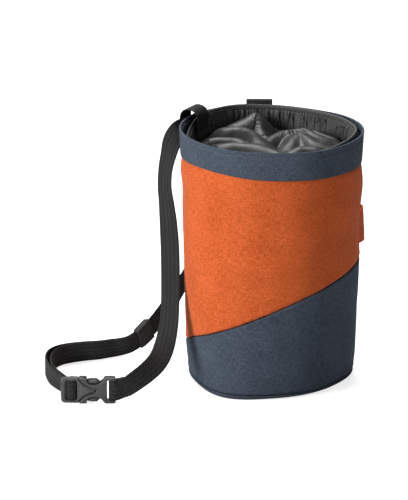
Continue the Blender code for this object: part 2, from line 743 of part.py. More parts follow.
def rear_route():
    """The belt from the left loop to the adjuster, and the index of the station its keeper sits on."""
    behind = FRAME_WALL / 2 + BELT_GAP + BELT_WALL / 2
    up = Vector((0.0, 0.0, 1.0))
    left, back = LEFT_LOOP_AZIMUTH, BACK_LOOP_AZIMUTH
    held = [belt_in_loop(left, side) for side in (0, -0.5, -1)] + belt_between_loops()
    held += [belt_in_loop(back, side) for side in (1, 0, -0.5, -1)]
    hanging = [from_shares(row) for row in BACK_ROUTE]
    lying = [from_shares(row) for row in FLOOR_ROUTE]
    slot = buckle_sizes()["inner_slot"]
    entry = [(buckle_point(slot, -ENTRY_LEAD), up),
             (buckle_point(slot + BELT_GAP + BELT_WALL / 2, -behind), up)]
    stations = held + hanging + lying + entry
    route = off_the_floor(smooth_route(stations, ROUTE_STEP))
    keeper_place = lying[0][0]
    keeper = min(range(len(route)), key=lambda i: (route[i][0] - keeper_place).length)
    return route, keeper


def back_run(look, collection):
    """Webbing through both loops, then down behind the bag to the keeper."""
    route, keeper = rear_route()
    frames = with_gap(squared(route)[:keeper + 1])
    return ribbon("belt_back_run", frames, BELT_WIDTH, BELT_WALL, look, collection)


def floor_run(look, collection):
    """Webbing from the keeper round to the adjuster, over its middle bar, and back as the free end."""
    tail_step = BELT_WALL + BELT_GAP
    route, keeper = rear_route()
    frames = squared(route)
    turn = bar_turn(buckle_sizes()["middle_bar"], ENTRY_TURN, 220, TURN_STEPS)
    tail = []
    start = len(frames) - 2
    stop = keeper - round(TAIL_BEYOND_KEEPER / ROUTE_STEP)
    for i in range(start, stop - 1, -1):
        point, across, ahead = frames[i]
        share = max(0.0, min(1.0, (i - keeper) / (start - keeper)))
        stand_off = tail_step + (TAIL_SPREAD - tail_step) * math.sin(math.pi * share) ** 2
        tail.append((point + ahead.cross(across) * stand_off, across))
    whole = frames[keeper:] + turn + tail
    return ribbon("belt_floor_run", whole, BELT_WIDTH, BELT_WALL, look, collection)


def strip_loop(name, profile, azimuth, look, collection):
    """A belt loop: a strip whose side view is a list of offsets from the band and heights."""
    place, along, out = band_frame(azimuth)
    route = [(place + out * offset + Vector((0.0, 0.0, z)), along) for offset, z in profile]
    return ribbon(name, route, LOOP_WIDTH, LOOP_WALL, look, collection)


def arch(low_offset, high_offset, base_z, rise, steps):
    """Half an ellipse over the rim, from one offset to another."""
    middle, reach = (low_offset + high_offset) / 2, (high_offset - low_offset) / 2
    angles = [math.pi * (1.0 - k / steps) for k in range(steps + 1)]
    return [(middle + reach * math.cos(angle), base_z + rise * math.sin(angle)) for angle in angles]


def left_loop(look, collection):
    """Loop that starts inside the mouth, arches over the ring and the rim, and is sewn outside."""
    azimuth = LEFT_LOOP_AZIMUTH
    place, _, out = band_frame(azimuth)
    reach = math.degrees(LOOP_WIDTH / 2 / MOUTH_RADIUS)

    def inside(depth):
        """The offset that clears the ring over the whole width of the loop."""
        faces = []
        for side in (-1, 0, 1):
            turned = azimuth + side * reach
            thick = RING_WALL + GATHER_DEPTH + PIPING_RADIUS
            faces.append((polar(ring_radius(turned, depth) - thick, turned, 0.0) - place).dot(out))
        return min(faces) - SEWN_GAP - LOOP_WALL / 2

    outer = belt_clearance() + BELT_WALL / 2 + BELT_GAP + LOOP_WALL / 2
    sewn = SEWN_GAP + LOOP_WALL / 2
    leg_low = BAG_HEIGHT - BELT_DROP - BELT_WIDTH / 2 - LOOP_WALL
    satin = BAG_HEIGHT - CLOTH_EDGE_DEPTH + LEFT_LOOP_FOOT
    profile = [(inside(CLOTH_EDGE_DEPTH), satin), (inside(0.0), BAG_HEIGHT - CLOTH_EDGE_DEPTH / 2)]
    profile += arch(inside(0.0), outer, BAG_HEIGHT, LEFT_LOOP_RISE - LOOP_WALL / 2, 8)
    profile += [(outer, leg_low), (sewn, leg_low - LOOP_JOG), (sewn, BAG_HEIGHT - LOOP_LENGTH)]
    return strip_loop("left_loop", profile, azimuth, look, collection)


def back_loop(look, collection):
    """Loop that stands just over the rim, with both legs outside the band."""
    leg = BELT_WALL / 2 + BELT_GAP + LOOP_WALL / 2
    inner, outer = belt_clearance() - leg, belt_clearance() + leg
    foot_z = BAG_HEIGHT - LOOP_LENGTH
    leg_low = BAG_HEIGHT - BELT_DROP - BELT_WIDTH / 2 - LOOP_WALL
    beside = inner + LOOP_WALL + SEWN_GAP
    crown = BAG_HEIGHT + BACK_LOOP_RISE - leg - LOOP_WALL / 2
    profile = [(inner, foot_z), (inner, BAG_HEIGHT - BELT_DROP)]
    profile += arch(inner, outer, crown, leg, 6)
    profile += [(outer, leg_low), (beside, leg_low - LOOP_JOG), (beside, foot_z)]
    return strip_loop("back_loop", profile, BACK_LOOP_AZIMUTH, look, collection)


def brush_loop(collection):
    """Cloth tunnel at the side, sewn down at both ends and open above and below."""
    start, stop = BRUSH_LOOP_SPAN
    steps, rows = 14, 3

    def place(u, w):
        azimuth = start + (stop - start) * u
        z = BRUSH_LOOP_HEIGHT + BRUSH_LOOP_WIDTH * (w - 0.5)
        free = max(0.0, min(1.0, (u - BRUSH_LOOP_SEWN) / (1.0 - 2.0 * BRUSH_LOOP_SEWN)))
        bulge = BRUSH_LOOP_BULGE * math.sin(math.pi * free) ** BRUSH_LOOP_ROUND
        clear = SEWN_GAP + LOOP_WALL / 2
        radius = wall_radius(azimuth, z) + clear + bulge * (1.0 - BRUSH_LOOP_TAPER * w)
        return polar(radius, azimuth, z)

    mesh = grid_mesh("brush_loop", steps, rows, place)
    look = material("loop_cloth", (0.58, 0.12, 0.035), 0.85)
    return thicken(add_object("brush_loop", mesh, look, collection), LOOP_WALL, 0)


def frame_beyond(frames, index, distance):
    """The frame at a distance along a route from one of its stations."""
    step = 1 if distance > 0 else -1
    left = abs(distance)
    while (frames[index + step][0] - frames[index][0]).length < left:
        left -= (frames[index + step][0] - frames[index][0]).length
        index += step
    here, there = frames[index], frames[index + step]
    share = left / (there[0] - here[0]).length
    return [a.lerp(b, share) for a, b in zip(here, there)]


def belt_keeper(look, collection):
    """Elastic sleeve round the belt and its free end."""
    route, keeper = rear_route()
    frames = squared(route)
    rows = [frame_beyond(frames, keeper, KEEPER_LENGTH * share) for share in (-0.5, -0.001, 0.5)]
    tail_step = BELT_WALL + BELT_GAP
    half_width = BELT_WIDTH / 2 + KEEPER_EASE
    half_stack = (BELT_WALL * 2 + BELT_GAP) / 2 + KEEPER_EASE
    corners = ((-1, -1), (1, -1), (1, 1), (-1, 1))

    def place(u, w):
        side, layer = corners[round(u * 4) % 4]
        point, across, ahead = rows[round(w * 2)]
        face = ahead.cross(across)
        return point + across * (side * half_width) + face * (tail_step / 2 + layer * half_stack)

    mesh = grid_mesh("belt_keeper", 4, 2, place)
    return thicken(add_object("belt_keeper", mesh, look, collection), KEEPER_WALL, 1)


def plate(name, outline, wall, out, look, collection):
    """A flat piece of the buckle: an outline in places along and up, as a mesh of one thickness."""
    curve = bpy.data.curves.new(name, "CURVE")
    curve.dimensions = "2D"
    curve.fill_mode = "BOTH"
    curve.extrude = wall / 2
    curve.render_resolution_u = 0
    spline = curve.splines.new("POLY")
    spline.points.add(len(outline) - 1)
    for item, (along, up) in zip(spline.points, outline):
        item.co = (along, up, 0.0, 1.0)
    spline.use_cyclic_u = True
    guide = bpy.data.objects.new(name + "_guide", curve)
    collection.objects.link(guide)
    graph = bpy.context.evaluated_depsgraph_get()
    mesh = bpy.data.meshes.new_from_object(guide.evaluated_get(graph))
    bpy.data.objects.remove(guide)
    form = bmesh.new()
    form.from_mesh(mesh)
    bmesh.ops.remove_doubles(form, verts=form.verts, dist=1e-6)
    for vert in form.verts:
        vert.co = buckle_point(vert.co.x, out + vert.co.z, vert.co.y)
    form.normal_update()
    bmesh.ops.recalc_face_normals(form, faces=form.faces)
    form.to_mesh(mesh)
    form.free()
    return add_object(name, mesh, look, collection)


def block(name, along, out, up, cutters):
    """A box cutter between low and high places along, out and up."""
    form = bmesh.new()
    bmesh.ops.create_cube(form, size=1.0)
    for vert in form.verts:
        share = (vert.co.x + 0.5, vert.co.y + 0.5, vert.co.z + 0.5)
        spans = [low + (high - low) * s for (low, high), s in zip((along, out, up), share)]
        vert.co = buckle_point(*spans)
    form.normal_update()
    bmesh.ops.recalc_face_normals(form, faces=form.faces)
    mesh = bpy.data.meshes.new(name)
    form.to_mesh(mesh)
    form.free()
    made = bpy.data.objects.new(name, mesh)
    cutters.objects.link(made)
    made.hide_render = True
    made.display_type = "WIRE"
    return made


def combine(made, other, operation):
    change = made.modifiers.new(other.name, "BOOLEAN")
    change.operation = operation
    change.object = other


def whole_outline(upper):
    """A closed outline in metres from the table of its upper half."""
    half = [(BUCKLE_LENGTH * along, BUCKLE_HEIGHT / 2 * up) for along, up in upper]
    return half + [(along, -up) for along, up in reversed(half)]


def thin_down(made, name, along, wall, full, reach_up, cutters):
    """Cuts a stretch of a plate of the buckle down to a smaller thickness, from both faces."""
    for side, out in {"front": (wall / 2, full), "rear": (-full, -wall / 2)}.items():
        cut = block(name + "_" + side + "_cut", along, out, (-reach_up, reach_up), cutters)
        combine(made, cut, "DIFFERENCE")


def buckle_clip(look, collection, cutters):
    """Clip half: an adjuster with two slots, a pointed body and two prongs that show in the windows."""
    sizes = buckle_sizes()
    clip = plate("buckle_clip", whole_outline(CLIP_OUTLINE), FRAME_WALL, 0.0, look, collection)
    opening = BUCKLE_HEIGHT / 2 - SIDE_RAIL
    for name in ("outer_slot", "inner_slot"):
        span = (sizes[name], sizes[name] + SLOT_WIDTH)
        cut = block(name + "_cut", span, (-FRAME_WALL, FRAME_WALL), (-opening, opening), cutters)
        combine(clip, cut, "DIFFERENCE")
    bar = (sizes["middle_bar"] - CUT_OVER, sizes["inner_slot"] + CUT_OVER)
    thin_down(clip, "middle_bar", bar, BAR_WALL, FRAME_WALL, opening, cutters)
    body = (sizes["frame_end"] + SHOULDER, BUCKLE_LENGTH)
    thin_down(clip, "prongs", body, PRONG_WALL, FRAME_WALL, BUCKLE_HEIGHT / 2, cutters)
    return clip


def buckle_socket(look, collection, cutters):
    """Socket half: two lugs over the prongs, side windows, a waist and the bar for the webbing."""
    sizes = buckle_sizes()
    outline = whole_outline(SOCKET_OUTLINE)
    socket = plate("buckle_socket", outline, BUCKLE_WALL, 0.0, look, collection)
    thick = PRONG_WALL / 2 + BUCKLE_GAP
    span = [BUCKLE_LENGTH * share for share in CHANNEL_SPAN]
    reach_up = BUCKLE_HEIGHT / 2 * CHANNEL_UP
    channel = block("channel_cut", span, (-thick, thick), (-reach_up, reach_up), cutters)
    combine(socket, channel, "DIFFERENCE")
    opening = BELT_WIDTH / 2 + BELT_GAP
    span = (sizes["end_slot"], sizes["end_bar"])
    slot = block("end_slot_cut", span, (-BUCKLE_WALL, BUCKLE_WALL), (-opening, opening), cutters)
    combine(socket, slot, "DIFFERENCE")
    bar = (sizes["end_bar"] - CUT_OVER, BUCKLE_LENGTH + CUT_OVER)
    thin_down(socket, "end_bar", bar, BAR_WALL, BUCKLE_WALL, opening, cutters)
    return socket


def new_collection(name):
    made = bpy.data.collections.new(name)
    bpy.context.scene.collection.children.link(made)
    return made


def main():
    for old in list(bpy.data.objects):
        bpy.data.objects.remove(old)
    parts = new_collection("chalk_bag")
    cutters = new_collection("cutters")
    base_panel(parts)
    lower_panel(parts)
    upper_panel(parts)
    rim_band(parts)
    closure_ring(parts)
    ring_piping(parts)
    closure_cloth(parts)
    brush_loop(parts)
    webbing = {name: material(name, (0.02, 0.02, 0.021), 0.8) for name in
               ("loop_webbing", "back_webbing", "front_belt", "back_belt", "floor_belt", "keeper_elastic")}
    left_loop(webbing["loop_webbing"], parts)
    back_loop(webbing["back_webbing"], parts)
    front_run(webbing["front_belt"], parts)
    back_run(webbing["back_belt"], parts)
    floor_run(webbing["floor_belt"], parts)
    belt_keeper(webbing["keeper_elastic"], parts)
    buckle_clip(material("clip_plastic", (0.05, 0.05, 0.052), 0.4), parts, cutters)
    buckle_socket(material("socket_plastic", (0.055, 0.055, 0.057), 0.4), parts, cutters)


main()
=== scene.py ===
# %% [markdown]
# # A climbing chalk bag
# A chalk bag is a small cloth bucket that hangs from a waist belt. This one has an orange wall, a
# slate-navy foot and rim band, a satin closure, and a belt of 15 mm webbing with a side-release
# buckle. The solids that carry the weight are loaded first. Every piece made below stands where
# one of them stands, and shows what a plain solid can't: weave, gathers, folds and stitches.

# %% Load the solids
import functools
import math

import bmesh
import bpy
import numpy as np
from mathutils import Matrix, Vector, noise


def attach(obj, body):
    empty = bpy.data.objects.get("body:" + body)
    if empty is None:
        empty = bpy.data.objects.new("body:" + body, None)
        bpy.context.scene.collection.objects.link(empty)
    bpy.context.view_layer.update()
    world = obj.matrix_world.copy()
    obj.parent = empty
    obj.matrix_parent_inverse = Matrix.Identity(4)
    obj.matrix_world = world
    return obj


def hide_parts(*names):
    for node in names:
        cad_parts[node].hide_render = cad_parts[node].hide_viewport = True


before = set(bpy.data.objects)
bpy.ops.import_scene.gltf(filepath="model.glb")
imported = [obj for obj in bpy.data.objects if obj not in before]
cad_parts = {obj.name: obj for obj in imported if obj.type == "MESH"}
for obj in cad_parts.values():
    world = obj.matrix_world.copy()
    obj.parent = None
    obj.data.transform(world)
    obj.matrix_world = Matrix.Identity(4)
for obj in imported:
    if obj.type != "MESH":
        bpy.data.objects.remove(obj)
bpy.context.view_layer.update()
MM = 0.001
UP = Vector((0.0, 0.0, 1.0))


# %% [markdown]
# ## Camera
# A long lens from well away keeps the bag's sides nearly parallel, as a product photographer
# likes it. The camera looks down by about 18 degrees, which opens the mouth to the eye.

# %% Camera
AIM = Vector((-47.9, 0.0, 93.7)) * MM
DISTANCE = 2.35
TILT = math.radians(17.8)
LENS = 234.2
SENSOR = 36.0

eye = bpy.data.cameras.new("product_lens")
eye.lens = LENS
eye.sensor_fit = "VERTICAL"
eye.sensor_height = SENSOR
camera = bpy.data.objects.new("product_camera", eye)
camera.location = AIM + DISTANCE * Vector((0.0, -math.cos(TILT), math.sin(TILT)))
camera.rotation_euler = (math.radians(90.0) - TILT, 0.0, 0.0)
bpy.context.scene.collection.objects.link(camera)
bpy.context.scene.camera = camera
bpy.context.scene.view_settings.view_transform = "Standard"
print("camera in mm:", [round(x / MM) for x in camera.location])

# %% [markdown]
# ## Light and floor
# One large soft light from the left and a little in front rounds the bag: its left side is
# bright and its right side falls away. A second one above and behind draws the light along the
# satin's folds and the rim, and a weak wide one lifts the shadow at the right. Floor and sky are
# white to the camera, like a product photo that was cut out. They send far less light on to the
# bag, which keeps its colours deep.

# %% Light
LIT_PLACE = Vector((-0.01, 0.0, 0.1))


def soft_light(name, place, size, power):
    """Add a square soft light that looks at the bag's middle."""
    lamp = bpy.data.lights.new(name, "AREA")
    lamp.size = size
    lamp.energy = power
    made = bpy.data.objects.new(name, lamp)
    made.location = place
    made.rotation_euler = (LIT_PLACE - Vector(place)).to_track_quat("-Z", "Y").to_euler()
    bpy.context.scene.collection.objects.link(made)


soft_light("key_light", (-1.50, -0.93, 0.70), 0.7, 36.0)
soft_light("top_light", (-0.10, 0.60, 1.30), 0.7, 21.0)
soft_light("right_fill", (1.30, -1.35, 0.60), 1.2, 3.5)

sky = bpy.data.worlds.new("studio")
sky.use_nodes = True
nodes, links = sky.node_tree.nodes, sky.node_tree.links
seen = nodes["Background"]
seen.inputs["Color"].default_value = (1.0, 1.0, 1.0, 1.0)
around = nodes.new("ShaderNodeBackground")
around.inputs["Strength"].default_value = 0.15
choice = nodes.new("ShaderNodeMixShader")
links.new(nodes.new("ShaderNodeLightPath").outputs["Is Camera Ray"], choice.inputs[0])
links.new(around.outputs[0], choice.inputs[1])
links.new(seen.outputs[0], choice.inputs[2])
links.new(choice.outputs[0], nodes["World Output"].inputs["Surface"])
bpy.context.scene.world = sky
print("lights:", len(bpy.data.lights))


# %% Floor
def finished(form, name):
    """Turn what was built in bmesh into a mesh."""
    mesh = bpy.data.meshes.new(name)
    form.to_mesh(mesh)
    form.free()
    return mesh


form = bmesh.new()
bmesh.ops.create_grid(form, x_segments=1, y_segments=1, size=6.0)
floor = bpy.data.objects.new("floor", finished(form, "floor"))
bpy.context.scene.collection.objects.link(floor)
paper = bpy.data.materials.new("floor_paper")
paper.use_nodes = True
nodes, links = paper.node_tree.nodes, paper.node_tree.links
coat = nodes["Principled BSDF"].inputs
coat["Base Color"].default_value = (0.60, 0.60, 0.60, 1.0)
coat["Roughness"].default_value = 0.9
coat["Emission Strength"].default_value = 0.75
links.new(nodes.new("ShaderNodeLightPath").outputs["Is Camera Ray"], coat["Emission Color"])
floor.data.materials.append(paper)
print("floor:", floor.dimensions.x, "m wide")

# %% [markdown]
# ## Writing materials as sums
# A node tree for cloth is mostly arithmetic. The small class below wraps a socket, so that an
# expression such as `thread * 0.3 + cloud` adds its Math nodes by itself. Every other node comes
# from one method, which takes the node's type, what goes into its sockets and its settings.

# %% Sockets that add up
class Signal:
    """A socket in a material. Arithmetic on it adds Math nodes."""

    def __init__(self, tree, socket=None):
        self.tree = tree
        self.socket = socket

    def node(self, kind, inputs, output=0, **settings):
        made = self.tree.nodes.new(kind)
        for name, value in settings.items():
            setattr(made, name, value)
        for key, value in inputs.items():
            if isinstance(value, Signal):
                self.tree.links.new(value.socket, made.inputs[key])
            else:
                made.inputs[key].default_value = value
        return Signal(self.tree, made.outputs[output])

    def math(self, operation, *values):
        return self.node("ShaderNodeMath", dict(enumerate(values)), operation=operation)

    def __add__(self, other):
        return self.math("ADD", self, other)

    def __mul__(self, other):
        return self.math("MULTIPLY", self, other)

    def __sub__(self, other):
        return self.math("SUBTRACT", self, other)

    __radd__ = __add__

    def wave(self, pitch):
        """A sine of this length, from -1 to 1."""
        return self.math("SINE", self * (2.0 * math.pi / pitch))

    def clamped(self):
        self.socket.node.use_clamp = True
        return self

    def tint(self, low, high):
        """A colour between two, picked by this number from 0 to 1."""
        return self.node("ShaderNodeMix", {"Factor": self, 6: (*low, 1.0), 7: (*high, 1.0)}, 2,
                         data_type="RGBA")

    def noise(self, scale, detail):
        return self.node("ShaderNodeTexNoise", {"Vector": self, "Scale": scale, "Detail": detail})

    def grain(self, along, across, detail=2.0):
        """Stretched noise: its scales are per metre along and across the cloth."""
        scale = {"Vector": self, "Scale": (along, across, 1.0)}
        return self.node("ShaderNodeMapping", scale).noise(1.0, detail)

    def bump(self, depth):
        return self.node("ShaderNodeBump", {"Height": self, "Distance": depth, "Strength": 1.0})


# %% New materials
def new_material(name, roughness, **fixed):
    """A Principled material, a Signal to build from and the shader's inputs."""
    made = bpy.data.materials.new(name)
    made.use_nodes = True
    inputs = made.node_tree.nodes["Principled BSDF"].inputs
    inputs["Roughness"].default_value = roughness
    for socket, value in fixed.items():
        inputs[socket.replace("_", " ")].default_value = value
    return made, Signal(made.node_tree), inputs


def connect(inputs, **signals):
    for socket, signal in signals.items():
        signal.tree.links.new(signal.socket, inputs[socket.replace("_", " ")])


def surface_places(start):
    """The piece's own UV map in metres: along the cloth, across it, and both as one vector."""
    spot = start.node("ShaderNodeTexCoord", {}, "UV")
    along = start.node("ShaderNodeSeparateXYZ", {0: spot})
    return along, Signal(start.tree, along.socket.node.outputs[1]), spot


# %% [markdown]
# ## Woven cloth
# The walls are a heavy plain weave. Its threads are about half a millimetre wide and none is
# quite like its neighbour, so the colour is faintly streaked both ways. The weave itself is a
# product of two waves: where one thread is up, its neighbours are down.

# %% Woven cloth
CLOTH_ROUGHNESS = 0.8


def woven_cloth(name, dark, light, pitch, sheen):
    made, start, inputs = new_material(name, CLOTH_ROUGHNESS, Sheen_Weight=sheen,
                                       Sheen_Roughness=0.45, Specular_IOR_Level=0.08)
    x, y, spot = surface_places(start)
    streaks = (spot.grain(260.0, 1400.0) + spot.grain(1400.0, 260.0)) * 0.5
    cloud = spot.grain(45.0, 45.0, 4.0)
    weave = (x + y).wave(pitch) * (x - y).wave(pitch)
    shade = (streaks * 2.4 + cloud * 0.6 + weave * 0.24 - 1.0).clamped()
    connect(inputs, Base_Color=shade.tint(dark, light),
            Roughness=CLOTH_ROUGHNESS + (streaks - 0.5) * 0.25,
            Normal=(weave * 0.5 + streaks * 1.6).bump(0.12 * MM))
    return made


orange = woven_cloth("orange_weave", (0.38, 0.056, 0.006), (0.76, 0.158, 0.046), 1.5 * MM, 0.08)
navy = woven_cloth("navy_weave", (0.027, 0.036, 0.052), (0.090, 0.112, 0.150), 1.5 * MM, 0.03)
band_navy = woven_cloth("band_weave", (0.028, 0.037, 0.053), (0.094, 0.117, 0.155), 1.25 * MM, 0.03)
print("woven cloths:", orange.name, navy.name, band_navy.name)

# %% [markdown]
# ## Webbing, satin and plastic
# Webbing is a narrow close weave with ribs along it. Its ribs are modelled, and the material adds
# the small slanting stitches of the weave. Satin is smooth and bends its highlights along the
# folds. The buckle is a dark moulded plastic with a fine matte grain and faint paler patches.

# %% Webbing
BELT_RIBS = 9
LOOP_RIBS = 11
BELT_WIDTH = 15.0 * MM
LOOP_WIDTH = 18.0 * MM


def webbing_weave(name, dark, light, rib, slant=1.0):
    """The slanting weave on ribs of this width, with painted shade across each rib."""
    made, start, inputs = new_material(name, 0.72, Sheen_Weight=0.03, Sheen_Roughness=0.4,
                                       Specular_IOR_Level=0.22)
    x, y, spot = surface_places(start)
    row = y.math("PINGPONG", y * (1.0 / rib), 1.0)
    twill = (x + row * (rib * slant)).wave(1.5 * MM)
    fuzz = spot.grain(900.0, 900.0)
    # The row term is painted shade: each rib goes from dark at one edge to light at the other.
    shade = twill * 0.42 + fuzz * 0.9 + spot.grain(60.0, 200.0) * 0.4 + row * 0.35 - 0.34
    connect(inputs, Base_Color=shade.clamped().tint(dark, light),
            Normal=(twill * 0.5 + fuzz * 0.8).bump(0.12 * MM))
    return made


black_webbing = webbing_weave("black_webbing", (0.0040, 0.0040, 0.0042), (0.039, 0.039, 0.040),
                              BELT_WIDTH / BELT_RIBS)
loop_webbing = webbing_weave("loop_webbing", (0.0045, 0.0045, 0.0047), (0.034, 0.034, 0.035),
                             LOOP_WIDTH / LOOP_RIBS, 0.3)
elastic = webbing_weave("elastic_weave", (0.012, 0.012, 0.0125), (0.050, 0.050, 0.051),
                        0.8 * MM, 0.1)


# %% Satin and gathered lining
def shiny_cloth(name, dark, light, roughness, depth, sheen):
    made, start, inputs = new_material(name, roughness, Sheen_Weight=sheen, Sheen_Roughness=0.3,
                                       Specular_IOR_Level=0.25)
    spot = surface_places(start)[2]
    thread = spot.grain(250.0, 2600.0)
    cloud = spot.grain(70.0, 70.0, 3.0)
    connect(inputs, Base_Color=(thread * 0.5 + cloud * 0.5).tint(dark, light),
            Roughness=roughness + (cloud - 0.5) * 0.2,
            Normal=(thread + cloud * 0.6).bump(depth))
    return made


satin = shiny_cloth("satin_weave", (0.012, 0.012, 0.0125), (0.030, 0.030, 0.0305),
                    0.43, 0.02 * MM, 0.06)
lining = shiny_cloth("gathered_lining", (0.040, 0.040, 0.041), (0.088, 0.088, 0.089),
                     0.52, 0.05 * MM, 0.25)
piping_cloth = shiny_cloth("piping_cloth", (0.040, 0.040, 0.040), (0.115, 0.115, 0.112),
                           0.6, 0.08 * MM, 0.2)


# %% Plastic and thread
def moulded_plastic(name, base, worn):
    made, start, inputs = new_material(name, 0.42, Specular_IOR_Level=0.45)
    spot = start.node("ShaderNodeTexCoord", {}, "Object")
    fine, broad = spot.noise(2600.0, 2.0), spot.noise(180.0, 2.0)
    connect(inputs, Base_Color=(fine * 0.35 + broad * 0.45).tint(base, worn),
            Roughness=0.34 + broad * 0.2, Normal=fine.bump(0.03 * MM))
    return made


def sewing_thread(name, dark, light):
    made, start, inputs = new_material(name, 0.6, Sheen_Weight=0.2)
    twist = start.node("ShaderNodeTexCoord", {}, "Object").noise(3000.0, 1.0)
    connect(inputs, Base_Color=twist.tint(dark, light), Normal=twist.bump(0.05 * MM))
    return made


plastic = moulded_plastic("buckle_plastic", (0.040, 0.040, 0.041), (0.095, 0.095, 0.097))
clip_plastic = moulded_plastic("clip_plastic", (0.046, 0.046, 0.047), (0.112, 0.112, 0.114))
navy_thread = sewing_thread("navy_thread", (0.040, 0.048, 0.064), (0.130, 0.148, 0.180))
black_thread = sewing_thread("black_thread", (0.008, 0.008, 0.008), (0.03, 0.03, 0.03))
print("materials:", len(bpy.data.materials))

# %% [markdown]
# ## The bag's form as tables
# The bag is round only at first sight. Each table gives a few azimuths, counted from +X towards
# +Y, and what belongs to them; a smooth closed curve is read between the rows. Most numbers are
# those that the solids were made from. The swellings, up to 3 mm, are the cloth's alone. The
# gathered ring's edge is also up to 9 mm lower at the left than its solid, as the photo shows it.

# %% Sizes of the bag
BAG_HEIGHT = 185.0 * MM
MOUTH_RADIUS = 65.5 * MM
PANEL_WALL = 2.0 * MM
SEWN_GAP = 0.4 * MM             # between two pieces of cloth that are sewn together
SOLE_RISE = 3.6 * MM            # how far the sole turns up before its seam
BAND_WALL = 1.6 * MM
BAND_TUCK = 6.0 * MM            # how far the orange wall reaches up behind the band
RING_WALL = 2.0 * MM
RING_DEPTH = 28.0 * MM
PIPING_RADIUS = 1.3 * MM
GATHER_DEPTH = 0.8 * MM
CLOTH_EDGE_DEPTH = 18.0 * MM    # below the rim, where the satin meets the ring
CLOTH_SAG = 15.0 * MM           # below the rim, where the satin lies between its ridges
THROAT_RADIUS = 7.5 * MM
THROAT = Vector((0.16, 0.55, 0.0)) * MOUTH_RADIUS
MIDDLE_LEVEL = 0.50             # heights of two of the plan's radii, in bag heights
FOOT_LEVEL = 0.05

# %% Tables of the bag
# Radii of the bag at four heights, in mouth radii
PLAN_COLUMNS = ("azimuth", "rim", "middle", "foot", "sole")
PLAN = (
    (-180, 1.002, 0.955, 0.925, 0.900),
    (-150, 0.972, 0.948, 0.930, 0.898),
    (-120, 0.990, 0.968, 0.990, 0.966),
    (-90, 0.986, 0.955, 0.915, 0.835),
    (-60, 1.030, 0.962, 0.885, 0.785),
    (-30, 1.018, 0.960, 0.905, 0.835),
    (0, 1.014, 0.960, 0.955, 0.925),
    (30, 0.985, 0.948, 0.948, 0.915),
    (60, 0.936, 0.940, 0.940, 0.908),
    (90, 0.990, 0.948, 0.940, 0.908),
    (120, 1.046, 0.955, 0.932, 0.900),
    (150, 1.028, 0.955, 0.928, 0.900),
)
# Where the band and the slanting seam run, in bag heights
EDGE_COLUMNS = ("azimuth", "band", "seam")
EDGES = (
    (-180, 0.895, 0.145),
    (-160, 0.895, 0.187),
    (-140, 0.900, 0.229),
    (-120, 0.898, 0.278),
    (-100, 0.890, 0.330),
    (-80, 0.888, 0.381),
    (-60, 0.885, 0.424),
    (-40, 0.882, 0.458),
    (-20, 0.877, 0.479),
    (0, 0.876, 0.487),
    (20, 0.878, 0.480),
    (60, 0.884, 0.430),
    (100, 0.890, 0.330),
    (140, 0.893, 0.210),
    (160, 0.895, 0.160),
)
# The gathered ring's edge: how far in it stands, in mouth radii, and its rise in bag heights
RING_COLUMNS = ("azimuth", "inset", "rise")
RING = (
    (-180, 0.040, -0.058),
    (-150, 0.038, -0.060),
    (-90, 0.034, -0.024),
    (-60, 0.036, -0.009),
    (-40, 0.058, -0.004),
    (-15, 0.066, -0.003),
    (2, 0.046, -0.002),
    (30, 0.050, 0.002),
    (60, 0.046, 0.005),
    (90, 0.045, 0.007),
    (120, 0.040, 0.010),
    (150, 0.040, -0.006),
)
# Places where the wall is pushed in: azimuth, level, half widths in degrees and bag heights, depth
DENTS = (
    (-128, 0.66, 20, 0.11, 0.016),
    (-78, 0.70, 24, 0.09, 0.022),
    (-28, 0.62, 22, 0.12, 0.016),
    (-100, 0.47, 12, 0.05, 0.012),
    (-96, 0.20, 22, 0.08, 0.016),
    (-38, 0.26, 20, 0.10, 0.016),
    (60, 0.55, 26, 0.16, 0.018),
    (120, 0.35, 24, 0.16, 0.018),
)
# Where the filled bag swells or is drawn in: the same columns, with the way out in place of depth
SWELLINGS = (
    (0, 0.80, 40, 0.11, 0.036),
    (-4, 0.42, 34, 0.22, 0.026),
    (-20, 0.00, 30, 0.07, -0.040),
    (-165, 0.00, 24, 0.07, -0.024),
    (178, 0.84, 30, 0.05, 0.022),
)
# Puckers just above the slanting seam: azimuth, half width in degrees, reach up, depth
PUCKERS = (
    (-107.0, 1.6, 7.0 * MM, 0.55 * MM),
    (-102.5, 1.3, 4.0 * MM, 0.35 * MM),
    (-98.5, 1.8, 9.0 * MM, 0.60 * MM),
    (-94.5, 1.3, 5.0 * MM, 0.50 * MM),
    (-66.0, 2.4, 6.0 * MM, 0.25 * MM),
    (-128.0, 2.6, 6.0 * MM, 0.25 * MM),
)
print("rows in tables:", [len(table) for table in (PLAN, EDGES, RING, DENTS, SWELLINGS, PUCKERS)])


# %% Reading the tables
def hermite(t, start, slope_in, stop, slope_out):
    """A smooth way from one value to the next, with a given slope at each end."""
    return (start * (2 * t ** 3 - 3 * t ** 2 + 1) + slope_in * (t ** 3 - 2 * t ** 2 + t)
            + stop * (3 * t ** 2 - 2 * t ** 3) + slope_out * (t ** 3 - t ** 2))


@functools.lru_cache(maxsize=None)
def round_table(columns, rows, column, azimuth):
    """Read one column of a table of azimuths on a smooth closed curve."""
    count = len(rows)
    azimuth = (azimuth - rows[0][0]) % 360.0 + rows[0][0]
    index = max(i for i in range(count) if rows[i][0] <= azimuth)
    near = range(index - 1, index + 3)
    places = [rows[k % count][0] + 360.0 * (k // count) for k in near]
    levels = [rows[k % count][columns.index(column)] for k in near]
    span = places[2] - places[1]
    slopes = [(levels[k + 2] - levels[k]) / (places[k + 2] - places[k]) * span for k in (0, 1)]
    return hermite((azimuth - places[1]) / span, levels[1], slopes[0], levels[2], slopes[1])


def plan(column, azimuth):
    return MOUTH_RADIUS * round_table(PLAN_COLUMNS, PLAN, column, azimuth)


